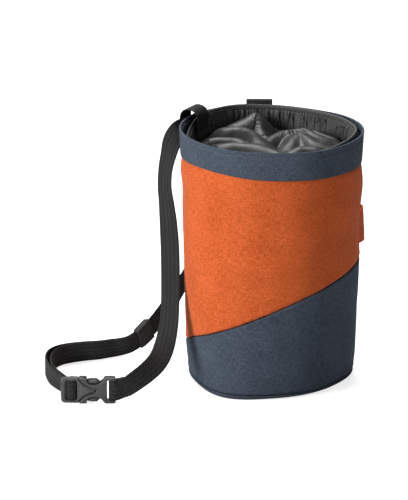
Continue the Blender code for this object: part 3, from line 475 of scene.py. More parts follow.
def edge(column, azimuth):
    return BAG_HEIGHT * round_table(EDGE_COLUMNS, EDGES, column, azimuth)


# %% Shapes that are used again
def limited(share):
    return max(0.0, min(1.0, share))


def bell(distance, width):
    return math.exp(-(distance / width) ** 2)


def turn_between(a, b):
    return abs((a - b + 180.0) % 360.0 - 180.0)


def polar(radius, azimuth, z):
    angle = math.radians(azimuth)
    return Vector((radius * math.cos(angle), radius * math.sin(angle), z))


def relief(table, azimuth, z):
    """What a table's soft round places add up to at one point of the wall."""
    return MOUTH_RADIUS * sum(
        depth * bell(turn_between(azimuth, at), wide) * bell(z / BAG_HEIGHT - level, tall)
        for at, level, wide, tall, depth in table)


def band_radius(azimuth, z):
    """Radius of the band's outside: a parabola through foot, middle and rim."""
    levels = (FOOT_LEVEL, MIDDLE_LEVEL, 1.0)
    share = z / BAG_HEIGHT
    total = 0.0
    for level, column in zip(levels, ("foot", "middle", "rim")):
        weight = math.prod((share - other) / (level - other) for other in levels if other != level)
        total += weight * plan(column, azimuth)
    return total


def wall_radius(azimuth, z):
    """Radius of the walls' outside, which steps in behind the band."""
    middle = BAG_HEIGHT * MIDDLE_LEVEL
    share = limited((z - middle) / (edge("band", azimuth) - middle))
    return band_radius(azimuth, z) - (BAND_WALL + SEWN_GAP) * share ** 2 - relief(DENTS, azimuth, z)


def ring_top(azimuth):
    return BAG_HEIGHT * (1.0 + round_table(RING_COLUMNS, RING, "rise", azimuth))


def ring_radius(azimuth, depth):
    """Radius of the gathered ring's outside at a depth below the rim."""
    z = BAG_HEIGHT - depth
    inset = MOUTH_RADIUS * round_table(RING_COLUMNS, RING, "inset", azimuth)
    at_top = band_radius(azimuth, BAG_HEIGHT) - BAND_WALL - inset
    at_foot = min(wall_radius(azimuth, z) - PANEL_WALL - SEWN_GAP,
                  band_radius(azimuth, z) - BAND_WALL - PANEL_WALL - 2 * SEWN_GAP)
    return min(at_foot, at_top + (at_foot - at_top) * limited(depth / RING_DEPTH) ** 2)


# %% [markdown]
# ## Cloth as a fine grid
# Every panel starts as one flat grid with its UV map, the way cloth starts flat on the cutting
# table. A function then says where each of its points goes. Edges that meet are welded, and a
# Solidify modifier gives the cloth its thickness.

# %% Making a panel
def add_piece(name, mesh, look, node=None):
    """Link a finished mesh, let it ride on the bag and hide the solid it stands for, if any."""
    made = bpy.data.objects.new(name, mesh)
    mesh.materials.append(look)
    bpy.context.scene.collection.objects.link(made)
    mesh.shade_smooth()
    mesh.set_sharp_from_angle(angle=math.radians(55.0))
    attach(made, "root")
    if node:
        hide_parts(node)
    print(name + ":", len(mesh.vertices), "points")
    return made


def unit_grid(along, across, uv_of):
    """A flat grid, one unit wide each way, with UVs from uv_of(u, w)."""
    form = bmesh.new()
    layer = form.loops.layers.uv.new("surface")
    bmesh.ops.create_grid(form, x_segments=along, y_segments=across, size=0.5, calc_uvs=True)
    for face in form.faces:
        for loop in face.loops:
            loop[layer].uv = uv_of(*loop[layer].uv)
    return form


def weld(form):
    bmesh.ops.remove_doubles(form, verts=form.verts, dist=1e-7)


def thicken(made, wall, offset, soft):
    """Give a panel its wall, and round its cut edges."""
    shell = made.modifiers.new("wall", "SOLIDIFY")
    shell.thickness = wall
    shell.offset = offset
    shell.use_even_offset = True
    if soft:
        round_edge = made.modifiers.new("soft_edge", "BEVEL")
        round_edge.width = soft
        round_edge.segments = 2
        round_edge.limit_method = "ANGLE"
        round_edge.angle_limit = math.radians(60.0)


def panel(name, place, steps, size, look, node, wall, offset=-1, soft=0.0):
    """A cloth panel whose points are put by place(u, w), with UVs in metres."""
    form = unit_grid(*steps, lambda u, w: (u * size[0], w * size[1]))
    for vert in form.verts:
        vert.co = place(vert.co.x + 0.5, vert.co.y + 0.5)
    weld(form)
    made = add_piece(name, finished(form, name), look, node)
    thicken(made, wall, offset, soft)
    return made


def round_noise(azimuth, z, fineness, lift=1.0, seed=0.0):
    """Noise on the bag's surface, smooth across the place where the grid closes."""
    spot = polar(fineness, azimuth, z / MOUTH_RADIUS * fineness * lift + seed)
    return noise.noise(spot)


# %% [markdown]
# ## The orange wall
# The upper panel is cut along the slanting seam. Close to the seam the cloth rolls inwards and
# puckers a little where the thread draws it. Higher up it has broad soft dents, because nothing
# but its own stiffness holds it out.

# %% Orange wall
WALL_STEPS = 300
WALL_CLOTH = 1.8 * MM
GIRTH = 2.0 * math.pi * 62.5 * MM
# Low wrinkles of the wall, coarse to fine: height in millimetres, fineness, lift and seed
WRINKLES = ((0.55, 2.2, 0.8, 3.1), (0.22, 5.0, 0.9, 8.7), (0.07, 14.0, 0.8, 1.3))


def azimuth_of(u):
    return -180.0 + 360.0 * u


def soft_relief(azimuth, z):
    """The swellings, and the low dents and wrinkles that any cloth wall has."""
    wrinkles = sum(height * round_noise(azimuth, z, *kind) for height, *kind in WRINKLES)
    return relief(SWELLINGS, azimuth, z) + wrinkles * MM


def seam_roll(distance, depth, width, puff, puff_at, puff_width):
    """How cloth turns in at a seam, with a slight puff beside it; sizes in millimetres."""
    away = distance / MM
    return MM * (puff * bell(away - puff_at, puff_width) - depth * bell(away, width))


def orange_place(u, w):
    azimuth = azimuth_of(u)
    low = edge("seam", azimuth) + SEWN_GAP / 2
    z = low + (edge("band", azimuth) + BAND_TUCK - low) * w
    above = z - low
    puckers = sum(depth * bell(turn_between(azimuth, at), wide) * bell(above, reach)
                  for at, wide, reach, depth in PUCKERS)
    ripple = 0.16 * MM * round_noise(azimuth, 0.0, 11.0, seed=5.0) * bell(above, 6.0 * MM)
    below_band = limited((edge("band", azimuth) + 0.4 * MM - z) / (2.6 * MM))
    radius = wall_radius(azimuth, z) + (soft_relief(azimuth, z) - puckers + ripple) * below_band
    return polar(radius + seam_roll(above, 0.75, 0.9, 0.22, 2.6, 1.8), azimuth, z)


orange_wall = panel("orange_wall", orange_place, (WALL_STEPS, 84), (GIRTH, 112 * MM), orange,
                    "upper_panel", WALL_CLOTH)

# %% [markdown]
# ## The navy foot and the sole
# The lower panel meets the orange one at the slanting seam and the sole close to the floor. The
# sole is a disc whose edge is turned up to that seam, so a fine line runs round the bag just
# above the ground.

# %% Navy foot
def navy_place(u, w):
    azimuth = azimuth_of(u)
    low = SOLE_RISE + SEWN_GAP / 2
    high = edge("seam", azimuth) - SEWN_GAP / 2
    z = low + (high - low) * w
    roll = (seam_roll(high - z, 0.45, 0.7, 0.18, 2.0, 1.5)
            + seam_roll(z - low, 0.55, 0.9, 0.15, 2.4, 1.6))
    ripple = 0.20 * MM * round_noise(azimuth, 0.0, 9.0, seed=2.0) * bell(z - low, 9.0 * MM)
    return polar(wall_radius(azimuth, z) + soft_relief(azimuth, z) + ripple + roll, azimuth, z)


navy_foot = panel("navy_foot", navy_place, (WALL_STEPS, 48), (GIRTH, 54 * MM), navy,
                  "lower_panel", WALL_CLOTH)


# %% Sole
SOLE_FLAT = 0.6      # share of the grid's rows that lie flat


def sole_place(u, w):
    """Flat on the floor at first, then curled up to the seam."""
    azimuth = azimuth_of(u)
    top = SOLE_RISE - SEWN_GAP / 2
    flat_radius = plan("sole", azimuth) + relief(SWELLINGS, azimuth, top)
    if w <= SOLE_FLAT:
        return polar(flat_radius * w / SOLE_FLAT, azimuth, 0.0)
    curl = (w - SOLE_FLAT) / (1.0 - SOLE_FLAT) * math.pi / 2
    seam_radius = wall_radius(azimuth, top) + soft_relief(azimuth, top)
    roll = -0.55 * MM * bell(top * math.cos(curl), 0.7 * MM)
    radius = flat_radius + (seam_radius - flat_radius) * math.sin(curl) + roll
    return polar(radius, azimuth, top * (1.0 - math.cos(curl)))


sole = panel("sole", sole_place, (WALL_STEPS // 2, 20), (GIRTH, 64 * MM), navy,
             "base_panel", WALL_CLOTH)

# %% [markdown]
# ## The rim band
# A strip of the same cloth, folded over the top edge, stiffens the mouth. A row of stitches runs
# a few millimetres below its fold and draws a fine groove into it.

# %% Rim band
STITCH_DROP = 3.6 * MM


def band_place(u, w):
    azimuth = azimuth_of(u)
    low = edge("band", azimuth)
    z = low + (BAG_HEIGHT - low) * w
    from_stitches = BAG_HEIGHT - STITCH_DROP - z
    groove = 0.45 * MM * bell(from_stitches, 0.60 * MM)
    puff = 0.22 * MM * bell(BAG_HEIGHT - 1.5 * MM - z, 1.3 * MM)
    turn_in = 0.35 * MM * bell(z - low, 0.6 * MM)
    waves = 0.20 * MM * round_noise(azimuth, z, 3.2, 0.5, 6.0)
    ripple = 0.09 * MM * round_noise(azimuth, z, 16.0, 0.6, 9.0) * bell(from_stitches, 3.0 * MM)
    return polar(band_radius(azimuth, z) - groove + puff - turn_in + waves + ripple, azimuth, z)


rim_band = panel("rim_cloth", band_place, (WALL_STEPS, 44), (0.411, 22 * MM), band_navy,
                 "rim_band", BAND_WALL, soft=0.45 * MM)


# %% Rows of stitches
def stitch_row(name, spots, length, thickness, look):
    """One small bean of thread for each spot, given by its place, direction and outward side."""
    form = bmesh.new()
    for place, ahead, out in spots:
        side = out.cross(ahead).normalized()
        turn = Matrix((ahead, side, ahead.cross(side))).transposed().to_4x4()
        bean = Matrix.Diagonal((length / 2, thickness * 0.6, thickness * 0.5, 1.0))
        bmesh.ops.create_uvsphere(form, u_segments=6, v_segments=4, radius=1.0,
                                  matrix=Matrix.Translation(place) @ turn @ bean)
    add_piece(name, finished(form, name), look)


def round_the_bag(place, count):
    """Spots for stitches on a line round the bag: place(azimuth) gives a point on it."""
    spots = []
    for k in range(count):
        azimuth = 360.0 * (k + 0.5) / count
        here, there = place(azimuth), place(azimuth + 0.5)
        ahead = (there - here).normalized()
        out = polar(1.0, azimuth, 0.0)
        spots.append((here, ahead, (out - ahead * out.dot(ahead)).normalized()))
    return spots


def band_line(azimuth):
    z = BAG_HEIGHT - STITCH_DROP
    return polar(band_radius(azimuth, z) - 0.30 * MM, azimuth, z)


stitch_row("band_stitches", round_the_bag(band_line, 152), 2.1 * MM, 0.42 * MM,
           navy_thread)

# %% [markdown]
# ## The gathered ring
# Inside the mouth hangs a ring of lining, drawn into small upright gathers below a smooth hem. A
# corded edge runs along its top, and a dark row of stitches holds the hem.

# %% Gathered ring
SEAM_BELOW_CORD = 0.6 * MM
RING_CLOTH = 1.1 * MM


def gather_relief(azimuth, z):
    """Upright gathers of uneven width, leaning a little."""
    down = (BAG_HEIGHT - z) / RING_DEPTH
    leaning = azimuth + 14.0 * down * round_noise(azimuth, z, 4.0, 0.1, 2.0)
    creases = 0.30 - abs(round_noise(leaning, z, 20.0, 0.12, 4.0)) * 1.6
    return 2.2 * MM * creases + 1.5 * MM * round_noise(leaning, z, 8.0, 0.12, 7.0)


def ring_place(u, w):
    azimuth = azimuth_of(u)
    top = ring_top(azimuth) - PIPING_RADIUS * 2 + 0.5 * MM
    low = BAG_HEIGHT - RING_DEPTH
    z = low + (top - low) * w
    below_seam = top - z - SEAM_BELOW_CORD
    gathers = gather_relief(azimuth, z) * limited(below_seam / (2.5 * MM))
    groove = 0.7 * MM * bell(below_seam, 0.45 * MM)
    radius = ring_radius(azimuth, BAG_HEIGHT - z) - 0.55 * MM + groove
    return polar(radius - max(gathers, -0.45 * MM), azimuth, z)


gathered_ring = panel("gathered_ring", ring_place, (900, 34), (0.46, 26 * MM), lining,
                      "closure_ring", RING_CLOTH)

# %% [markdown]
# ## Sweeping an outline along a route
# Cord, webbing and sleeves are all an outline carried along a line. The grid is used again, one
# way along the route and the other way round the outline, and welded where it closes.

# %% Sweep
def sweep(name, stations, outline, closed=False):
    """Carry outline(distance) along stations of (place, side, face), and close its ends."""
    count = len(stations)
    along = count if closed else count - 1
    runs = [0.0]
    for k in range(along):
        runs.append(runs[-1] + (stations[(k + 1) % count][0] - stations[k][0]).length)
    sections = [outline(run) for run in runs]
    first = sections[0]
    around = len(first)
    girth = sum(math.dist(first[k], first[k - 1]) for k in range(around))
    form = unit_grid(along, around, lambda u, w: (runs[round(u * along)], w * girth))
    for vert in form.verts:
        i, j = round((vert.co.x + 0.5) * along), round((vert.co.y + 0.5) * around) % around
        place, side, face = stations[i % count]
        a, b = sections[i % count if closed else i][j]
        vert.co = place + side * a + face * b
    weld(form)
    if not closed:
        bmesh.ops.holes_fill(form, edges=[e for e in form.edges if e.is_boundary], sides=0)
    bmesh.ops.recalc_face_normals(form, faces=form.faces)
    return finished(form, name)


# %% Corded edge
CORD_STEPS = 1200


def cord_outline(distance):
    """A flat upright roll with fine ribs across it."""
    ribs = 0.15 * MM * math.sin(distance / (1.6 * MM) * 2.0 * math.pi)
    return [((0.85 * MM + ribs) * math.cos(a), (PIPING_RADIUS + ribs) * math.sin(a))
            for a in (2.0 * math.pi * k / 12 for k in range(12))]


def cord_station(azimuth):
    radius = ring_radius(azimuth, 0.0) - RING_WALL / 2
    return polar(radius, azimuth, ring_top(azimuth) - PIPING_RADIUS), polar(1.0, azimuth, 0.0), UP


def hem_line(azimuth):
    z = ring_top(azimuth) - PIPING_RADIUS * 2 - 0.1 * MM
    return polar(ring_radius(azimuth, BAG_HEIGHT - z) - 2.05 * MM, azimuth, z)


stations = [cord_station(azimuth_of(step / CORD_STEPS)) for step in range(CORD_STEPS)]
cord_mesh = sweep("corded_edge", stations, cord_outline, closed=True)
add_piece("corded_edge", cord_mesh, piping_cloth, "ring_piping")
stitch_row("hem_stitches", [(p, a, -o) for p, a, o in round_the_bag(hem_line, 190)],
           2.4 * MM, 1.1 * MM, black_thread)

# %% [markdown]
# ## The satin closure
# The satin is a short sleeve whose free edge is drawn together by a cord, so it falls into long
# soft ridges with sharp valleys between them. Each ridge is listed as a crest line with its depth
# below the rim. At a point of the cloth the nearest place of every crest counts, and the highest
# ridge wins softly.

# %% Satin ridges
# Crests: half width in millimetres, then places as x, y and depth below the rim in millimetres
RIDGES = (
    (4.6, ((-33, 27, 6.5), (-20, 23, 6), (-13, 10, 6.5), (-9, -2, 7), (-5, -12, 9))),
    (5.6, ((-24, 40, 7), (-16, 44, 3.5), (-11, 47, 1.6), (-7, 44, 4), (-2, 36, 9))),
    (3.9, ((-5, -1, 10), (6, 12, 7), (16, 21, 5.6), (24, 21, 6), (33, 12, 8), (45, 4, 11))),
    (3.8, ((8, -14, 12), (14, -3, 9), (19.5, 11, 7), (25, 6, 7.6), (30, -3, 9), (40, -7, 11))),
    (3.6, ((-46, 5, 9), (-38, 6, 8), (-31, 4, 8), (-24, 1, 8), (-17, -4, 10))),
    (4.4, ((-42, -10, 9), (-34, -11, 8), (-24, -11, 7.5), (-9, -16, 8), (1, -26, 8.5),
           (9, -34, 9.5))),
    (4.0, ((10, -30, 11), (15, -25, 9), (21, -19, 8), (30, -17, 8.5), (38, -16, 10))),
    (3.0, ((26, -30, 12), (34, -27, 11), (42, -20, 12))),
    (3.0, ((-20, 38, 9), (-30, 38, 10), (-40, 30, 12))),
    (3.0, ((24, 34, 11), (32, 32, 11), (42, 24, 12))),
    (2.6, ((-30, -26, 11), (-20, -30, 10), (-10, -36, 12))),
    (8.5, ((14, 7, 9), (25, 8, 8.6), (38, 2, 9.5))),
)
print("ridges:", len(RIDGES))

# %% Ridge heights
CREST_POINTS = 120
RUN_OUT = 15.0      # how far a ridge runs out beyond its listed ends, in millimetres
SOFTNESS = 6        # the higher, the sharper are the valleys between ridges


def crest_line(places):
    """Points along a smooth crest through its places, each with how much of the ridge is left."""
    places = np.array(places, float)
    padded = np.vstack([2 * places[0] - places[1], places, 2 * places[-1] - places[-2]])
    core = []
    for t in np.linspace(0.0, len(places) - 1.0, CREST_POINTS + 1):
        i = min(int(t), len(places) - 2)
        a, b, c, d = padded[i:i + 4]
        core.append(hermite(t - i, b, (c - a) / 2, c, (d - b) / 2))
    core = np.array(core)
    shares = np.arange(1, 25)[:, None] / 24
    ends = []
    for last, before in ((core[0], core[3]), (core[-1], core[-4])):
        ahead = (last - before)[:2] / np.hypot(*(last - before)[:2])
        ends.append(np.hstack([last[:2] + ahead * RUN_OUT * shares, last[2] + 0.0 * shares,
                               1.0 - shares ** 1.5]))
    return np.vstack([ends[0][::-1], np.hstack([core, np.ones((len(core), 1))]), ends[1]])


def satin_heights(points):
    """Height over the resting level at points in millimetres, ridge by ridge."""
    total = np.zeros(len(points))
    for width, places in RIDGES:
        crest = crest_line(places)
        apart = np.hypot(points[:, None, 0] - crest[None, :, 0],
                         points[:, None, 1] - crest[None, :, 1])
        nearest = apart.argmin(axis=1)
        distance = apart.min(axis=1)
        left = crest[nearest, 3]
        height = np.maximum(CLOTH_SAG / MM - crest[nearest, 2], 0.0) * left
        reach = width * (0.35 + 0.65 * left)
        dome = np.maximum(1.0 - (distance / (reach * 2.2)) ** 2, 0.0) ** 1.1
        skirt = np.exp(-(distance / (reach * 2.6)) ** 2)
        total += (height * (0.65 * dome + 0.35 * skirt)) ** SOFTNESS
    return total ** (1.0 / SOFTNESS)


# %% Satin cloth
SATIN_AROUND = 340
SATIN_ROWS = 120
SATIN_CLOTH = 0.8 * MM


def satin_base(u, w):
    """A point of the closure seen from above, between the throat and the ring."""
    azimuth = azimuth_of(u)
    outer_radius = ring_radius(azimuth, CLOTH_EDGE_DEPTH) - RING_WALL - GATHER_DEPTH * 0.5
    inner = THROAT + polar(THROAT_RADIUS, azimuth, 0.0)
    return inner.lerp(polar(outer_radius, azimuth, 0.0), w ** 0.9)


def drift(x, y, seed):
    """Lets the ridges wander a little from their even curves, in millimetres."""
    return noise.noise(Vector((x * 0.05, y * 0.05, seed))) * 2.4


keys = [(i, j) for i in range(SATIN_AROUND + 1) for j in range(SATIN_ROWS + 1)]
flat_places = {(i, j): satin_base(i / SATIN_AROUND, j / SATIN_ROWS) for i, j in keys}
spots = np.array([flat_places[key].xy for key in keys]) / MM
wandered = spots + np.array([(drift(x, y, 1.0), drift(x, y, 9.0)) for x, y in spots])
rises = dict(zip(keys, satin_heights(wandered) * MM))


def satin_place(u, w):
    key = (round(u * SATIN_AROUND), round(w * SATIN_ROWS))
    point = flat_places[key].copy()
    from_throat = (point - THROAT).length / THROAT_RADIUS - 1.0
    dip = 0.13 * MOUTH_RADIUS * bell(from_throat, 0.9)
    fade = min(1.0, (1.0 - w) * 4.0)
    angle = math.atan2(point.y - THROAT.y, point.x - THROAT.x)
    pleats = 0.6 - 1.8 * abs(noise.noise(polar(5.5, math.degrees(angle), w * 1.3)))
    creases = 0.25 - abs(noise.noise(point / (13.0 * MM)))
    crumple = 0.5 * MM * creases + 0.9 * MM * pleats * (0.08 + bell(from_throat, 2.2))
    depth = CLOTH_SAG + (CLOTH_EDGE_DEPTH - CLOTH_SAG) * w ** 3
    point.z = BAG_HEIGHT - depth + rises[key] * fade - dip + crumple * fade
    return point


satin_closure = panel("satin_closure", satin_place, (SATIN_AROUND, SATIN_ROWS), (0.30, 50 * MM),
                      satin, "closure_cloth", SATIN_CLOTH, 0)

# %% [markdown]
# ## Routes for the belt
# The belt is one strap of 15 mm webbing. It leaves the buckle's socket, climbs the bag's left
# side, runs through both loops, comes down behind the bag and lies on the floor round to the
# adjuster, where it turns over the middle bar and its free end goes back to the keeper. A station
# of the route holds a place and the direction of the webbing's width.

# %% Belt sizes
BELT_WALL = 1.4 * MM
BELT_GAP = 0.4 * MM
BELT_DROP = 8.9 * MM            # from the rim down to the belt's middle, in the loops
BELT_STRAIGHT = 3.0 * MM        # how far the belt runs straight beyond a loop's edge
BELT_SETTLE = 9.0 * MM          # how far beyond a loop's edge it lies against the band
TAIL_SPREAD = 4.3 * MM          # how far the free end stands off the belt in the left bend
KEEPER_LENGTH = 14.0 * MM
TAIL_BEYOND_KEEPER = 9.5 * MM
FLOOR_CLEAR = 0.2 * MM
FOLD_BACK = 8.0 * MM            # sewn double length beyond the socket
FOLD_LIFT = 2.4 * MM            # how far the belt has risen at the end of that
ENTRY_LEAD = 7.5 * MM           # how far behind the adjuster the belt heads for its slot
SLOT_EASE = 1.1 * MM            # how much looser the belt turns on a bar's open side
LOOP_WALL = 1.2 * MM
LEFT_LOOP_RISE = 7.0 * MM
BACK_LOOP_RISE = 3.6 * MM
LOOP_LENGTH = 25.0 * MM
LOOP_JOG = 4.2 * MM             # height over which a loop's outer leg comes in to the band
LEFT_LOOP_AZIMUTH = 148.5
BACK_LOOP_AZIMUTH = 96.4
BUCKLE_LENGTH = 39.6 * MM
BUCKLE_HEIGHT = 18.8 * MM
FRAME_WALL = 4.4 * MM
RAIL_WIDTH = 3.0 * MM
BAR_WIDTH = 2.4 * MM
BAR_WALL = 2.6 * MM
SLOT_WIDTH = 3.4 * MM
# The buckle's left end on the floor, from the bag's middle
BUCKLE_PLACE = (-2.292 * MOUTH_RADIUS, -0.954 * MOUTH_RADIUS)
ROUTE_STEP = 1.5 * MM

# %% Belt stations
# x and y in mouth radii, z in bag heights above the belt's half width, and the width's direction.
# The last rows behind the bag and those on the floor lead up to 9 mm away from the solids.
FRONT_ROUTE = (
    (-1.490, -0.945, 0.041, -0.28, 0.05, 0.95),
    (-1.356, -0.870, 0.073, -0.50, 0.10, 0.85),
    (-1.243, -0.763, 0.108, -0.65, 0.28, 0.70),
    (-1.179, -0.641, 0.149, -0.74, 0.42, 0.50),
    (-1.125, -0.458, 0.225, -0.76, 0.60, 0.20),
    (-1.105, -0.305, 0.296, -0.80, 0.58, 0.10),
    (-1.101, -0.122, 0.398, -0.87, 0.48, 0.04),
    (-1.107, 0.031, 0.503, -0.89, 0.45, 0.00),
    (-1.124, 0.137, 0.594, -0.85, 0.52, 0.00),
    (-1.145, 0.198, 0.669, -0.74, 0.66, 0.02),
    (-1.166, 0.244, 0.734, -0.63, 0.76, 0.08),
    (-1.156, 0.290, 0.794, -0.61, 0.76, 0.18),
    (-1.122, 0.322, 0.846, -0.62, 0.72, 0.30),
    (-1.076, 0.368, 0.885, -0.50, 0.55, 0.66),
)
BACK_ROUTE = (
    (0.125, 1.085, 0.903, 0.20, -0.10, 0.97),
    (0.195, 1.130, 0.864, 0.65, -0.40, 0.60),
    (0.125, 1.185, 0.808, 0.55, -0.80, 0.22),
    (-0.080, 1.220, 0.738, 0.20, -0.97, 0.06),
    (-0.300, 1.232, 0.655, -0.05, -0.99, 0.04),
    (-0.500, 1.232, 0.555, -0.20, -0.97, 0.09),
    (-0.668, 1.224, 0.446, -0.36, -0.92, 0.16),
    (-0.838, 1.208, 0.316, -0.50, -0.82, 0.26),
    (-0.962, 1.191, 0.224, -0.60, -0.70, 0.36),
    (-1.130, 1.018, 0.128, -0.52, -0.46, 0.72),
    (-1.262, 0.827, 0.084, -0.47, -0.49, 0.74),
)
FLOOR_ROUTE = (
    (-1.402, 0.641, 0.047, -0.39, -0.51, 0.76),
    (-1.489, 0.556, 0.025, -0.27, -0.44, 0.86),
    (-1.590, 0.501, 0.009, -0.12, -0.36, 0.92),
    (-1.737, 0.463, 0.001, 0.00, -0.27, 0.96),
    (-1.904, 0.388, 0.001, 0.00, -0.17, 0.98),
    (-2.075, 0.345, 0.001, 0.00, -0.10, 1.00),
    (-2.240, 0.278, 0.001, 0.00, -0.05, 1.00),
    (-2.345, 0.195, 0.001, 0.00, 0.00, 1.00),
    (-2.412, 0.056, 0.001, 0.00, 0.00, 1.00),
    (-2.434, -0.145, 0.001, 0.00, 0.00, 1.00),
    (-2.406, -0.369, 0.001, 0.00, 0.00, 1.00),
    (-2.350, -0.510, 0.001, 0.00, -0.12, 0.99),
    (-2.270, -0.660, 0.001, 0.00, -0.30, 0.95),
    (-2.200, -0.785, 0.001, 0.00, -0.20, 0.98),
)
print("belt stations:", len(FRONT_ROUTE) + len(BACK_ROUTE) + len(FLOOR_ROUTE))


# %% Smooth routes
def smooth_route(stations, step=ROUTE_STEP):
    """Read places and width directions from a smooth curve through the stations."""
    points = [place for place, _ in stations]
    acrosses = [across for _, across in stations]
    count = len(points)
    knots = [0.0]
    for a, b in zip(points, points[1:]):
        knots.append(knots[-1] + (b - a).length)

    def slope(i):
        low, high = max(i - 1, 0), min(i + 1, count - 1)
        return (points[high] - points[low]) / (knots[high] - knots[low])

    route = []
    for i in range(count - 1):
        span = knots[i + 1] - knots[i]
        parts = max(1, round(span / step))
        for k in range(parts + (i == count - 2)):
            t = k / parts
            place = hermite(t, points[i], slope(i) * span, points[i + 1], slope(i + 1) * span)
            route.append((place, acrosses[i].lerp(acrosses[i + 1], t).normalized()))
    return route


def calm(route, passes):
    """Even out how the width direction turns along a route; its ends stay."""
    acrosses = [across for _, across in route]
    for _ in range(passes):
        middle = [(acrosses[i - 1] + acrosses[i] * 2.0 + acrosses[i + 1]).normalized()
                  for i in range(1, len(acrosses) - 1)]
        acrosses = [acrosses[0]] + middle + [acrosses[-1]]
    return [(place, across) for (place, _), across in zip(route, acrosses)]


def squared(route):
    """Turn each width direction square to the route, and add the direction along it."""
    made = []
    for i, (point, across) in enumerate(route):
        ahead = (route[min(i + 1, len(route) - 1)][0] - route[max(i - 1, 0)][0]).normalized()
        made.append((point, (across - ahead * across.dot(ahead)).normalized(), ahead))
    return made


def off_the_floor(route):
    made = []
    for point, across, ahead in squared(route):
        face = ahead.cross(across)
        lowest = point.z - BELT_WIDTH / 2 * abs(across.z) - BELT_WALL / 2 * abs(face.z)
        made.append((point + UP * max(0.0, FLOOR_CLEAR - lowest), across))
    return made


# %% Places for the belt
def from_shares(row):
    """A row of the belt's tables as a place and the direction of the width."""
    across = Vector(row[3:]).normalized()
    lift = BELT_WIDTH / 2 * abs(across.z) + BELT_WALL / 2 * math.sqrt(1.0 - min(1.0, across.z ** 2))
    x, y, z = row[:3]
    return Vector((x * MOUTH_RADIUS, y * MOUTH_RADIUS, lift + z * BAG_HEIGHT)), across


def band_frame(azimuth):
    """A place on the band at a loop's azimuth, with the directions along it and away from it."""
    reach = math.degrees(LOOP_WIDTH / 2 / MOUTH_RADIUS)
    levels = (BAG_HEIGHT, BAG_HEIGHT - BELT_DROP, BAG_HEIGHT - LOOP_LENGTH)
    radii = [max(band_radius(azimuth + side * reach, z) for z in levels) for side in (-1, 0, 1)]
    places = [polar(radius, azimuth + side * reach, 0.0) for radius, side in zip(radii, (-1, 0, 1))]
    along = (places[2] - places[0]).normalized()
    out = along.cross(UP)
    stand = max(0.0, max((place - places[1]).dot(out) for place in places))
    return places[1] + out * stand, along, out


BELT_CLEARANCE = SEWN_GAP + LOOP_WALL + BELT_GAP + BELT_WALL / 2


def belt_in_loop(azimuth, side):
    place, along, out = band_frame(azimuth)
    station = place + along * (side * (LOOP_WIDTH / 2 + BELT_STRAIGHT)) + out * BELT_CLEARANCE
    station.z = BAG_HEIGHT - BELT_DROP
    return station, UP


def belt_between_loops():
    reach = math.degrees((LOOP_WIDTH / 2 + BELT_SETTLE) / MOUTH_RADIUS)
    start, stop = LEFT_LOOP_AZIMUTH - reach, BACK_LOOP_AZIMUTH + reach
    return [(polar(band_radius(a, BAG_HEIGHT) + BELT_CLEARANCE, a, BAG_HEIGHT - BELT_DROP), UP)
            for a in (start, (start + stop) / 2, stop)]


# %% Places on the buckle
MIDDLE_BAR = RAIL_WIDTH + SLOT_WIDTH
INNER_SLOT = MIDDLE_BAR + BAR_WIDTH
END_BAR = BUCKLE_LENGTH - BAR_WIDTH


def buckle_point(along, out, up=0.0):
    """A place on the buckle: along it from its left end, out to the viewer, and up."""
    return Vector((BUCKLE_PLACE[0] + along, BUCKLE_PLACE[1] - out, BUCKLE_HEIGHT / 2 + up))


def bar_turn(along, start, stop, steps, loose_side):
    """Stations round a bar of the buckle, seen from above; on one side the turn is looser."""
    tight = BELT_WALL / 2 + BELT_GAP
    made = []
    for k in range(steps + 1):
        angle = math.radians(start + (stop - start) * k / steps)
        side, out = math.cos(angle), math.sin(angle)
        reach = tight + SLOT_EASE * max(0.0, side * loose_side) ** 2
        corner = along + BAR_WIDTH / 2 + math.copysign(BAR_WIDTH / 2, side)
        forward = math.copysign(BAR_WALL / 2, out) + out * tight
        made.append((buckle_point(corner + side * reach, forward), UP))
    return made


# %% Belt routes
BEHIND = FRAME_WALL / 2 + BELT_GAP + BELT_WALL / 2
TAIL_STEP = BELT_WALL + BELT_GAP
TAIL_START = 14      # stations of the belt before the adjuster that its free end doesn't follow
# The free end just behind the adjuster: millimetres along the buckle, behind it and down
TAIL_POINTS = ((4.2, 3.8, 0.7), (3.2, 6.2, 1.3), (2.2, 9.5, 1.7), (1.2, 13.5, 1.7))


def front_route():
    """From the fold behind the socket's bar, round the bar and up to the left loop."""
    layer = BELT_WALL / 2 + BELT_GAP / 2
    fold = [(BUCKLE_LENGTH + FOLD_BACK * share, FOLD_LIFT * share) for share in (1.0, 0.5)]
    folded = [(buckle_point(along, -layer, up), UP) for along, up in fold]
    free, joint = [(buckle_point(along, layer, up), UP) for along, up in fold]
    ends = [belt_in_loop(LEFT_LOOP_AZIMUTH, side) for side in (1, 0.5, 0)]
    climb = smooth_route([free] + [from_shares(row) for row in FRONT_ROUTE] + ends)
    round_bar = bar_turn(END_BAR, 290, 70, 14, -1)
    return squared(folded + round_bar + [joint] + calm(off_the_floor(climb), 40))


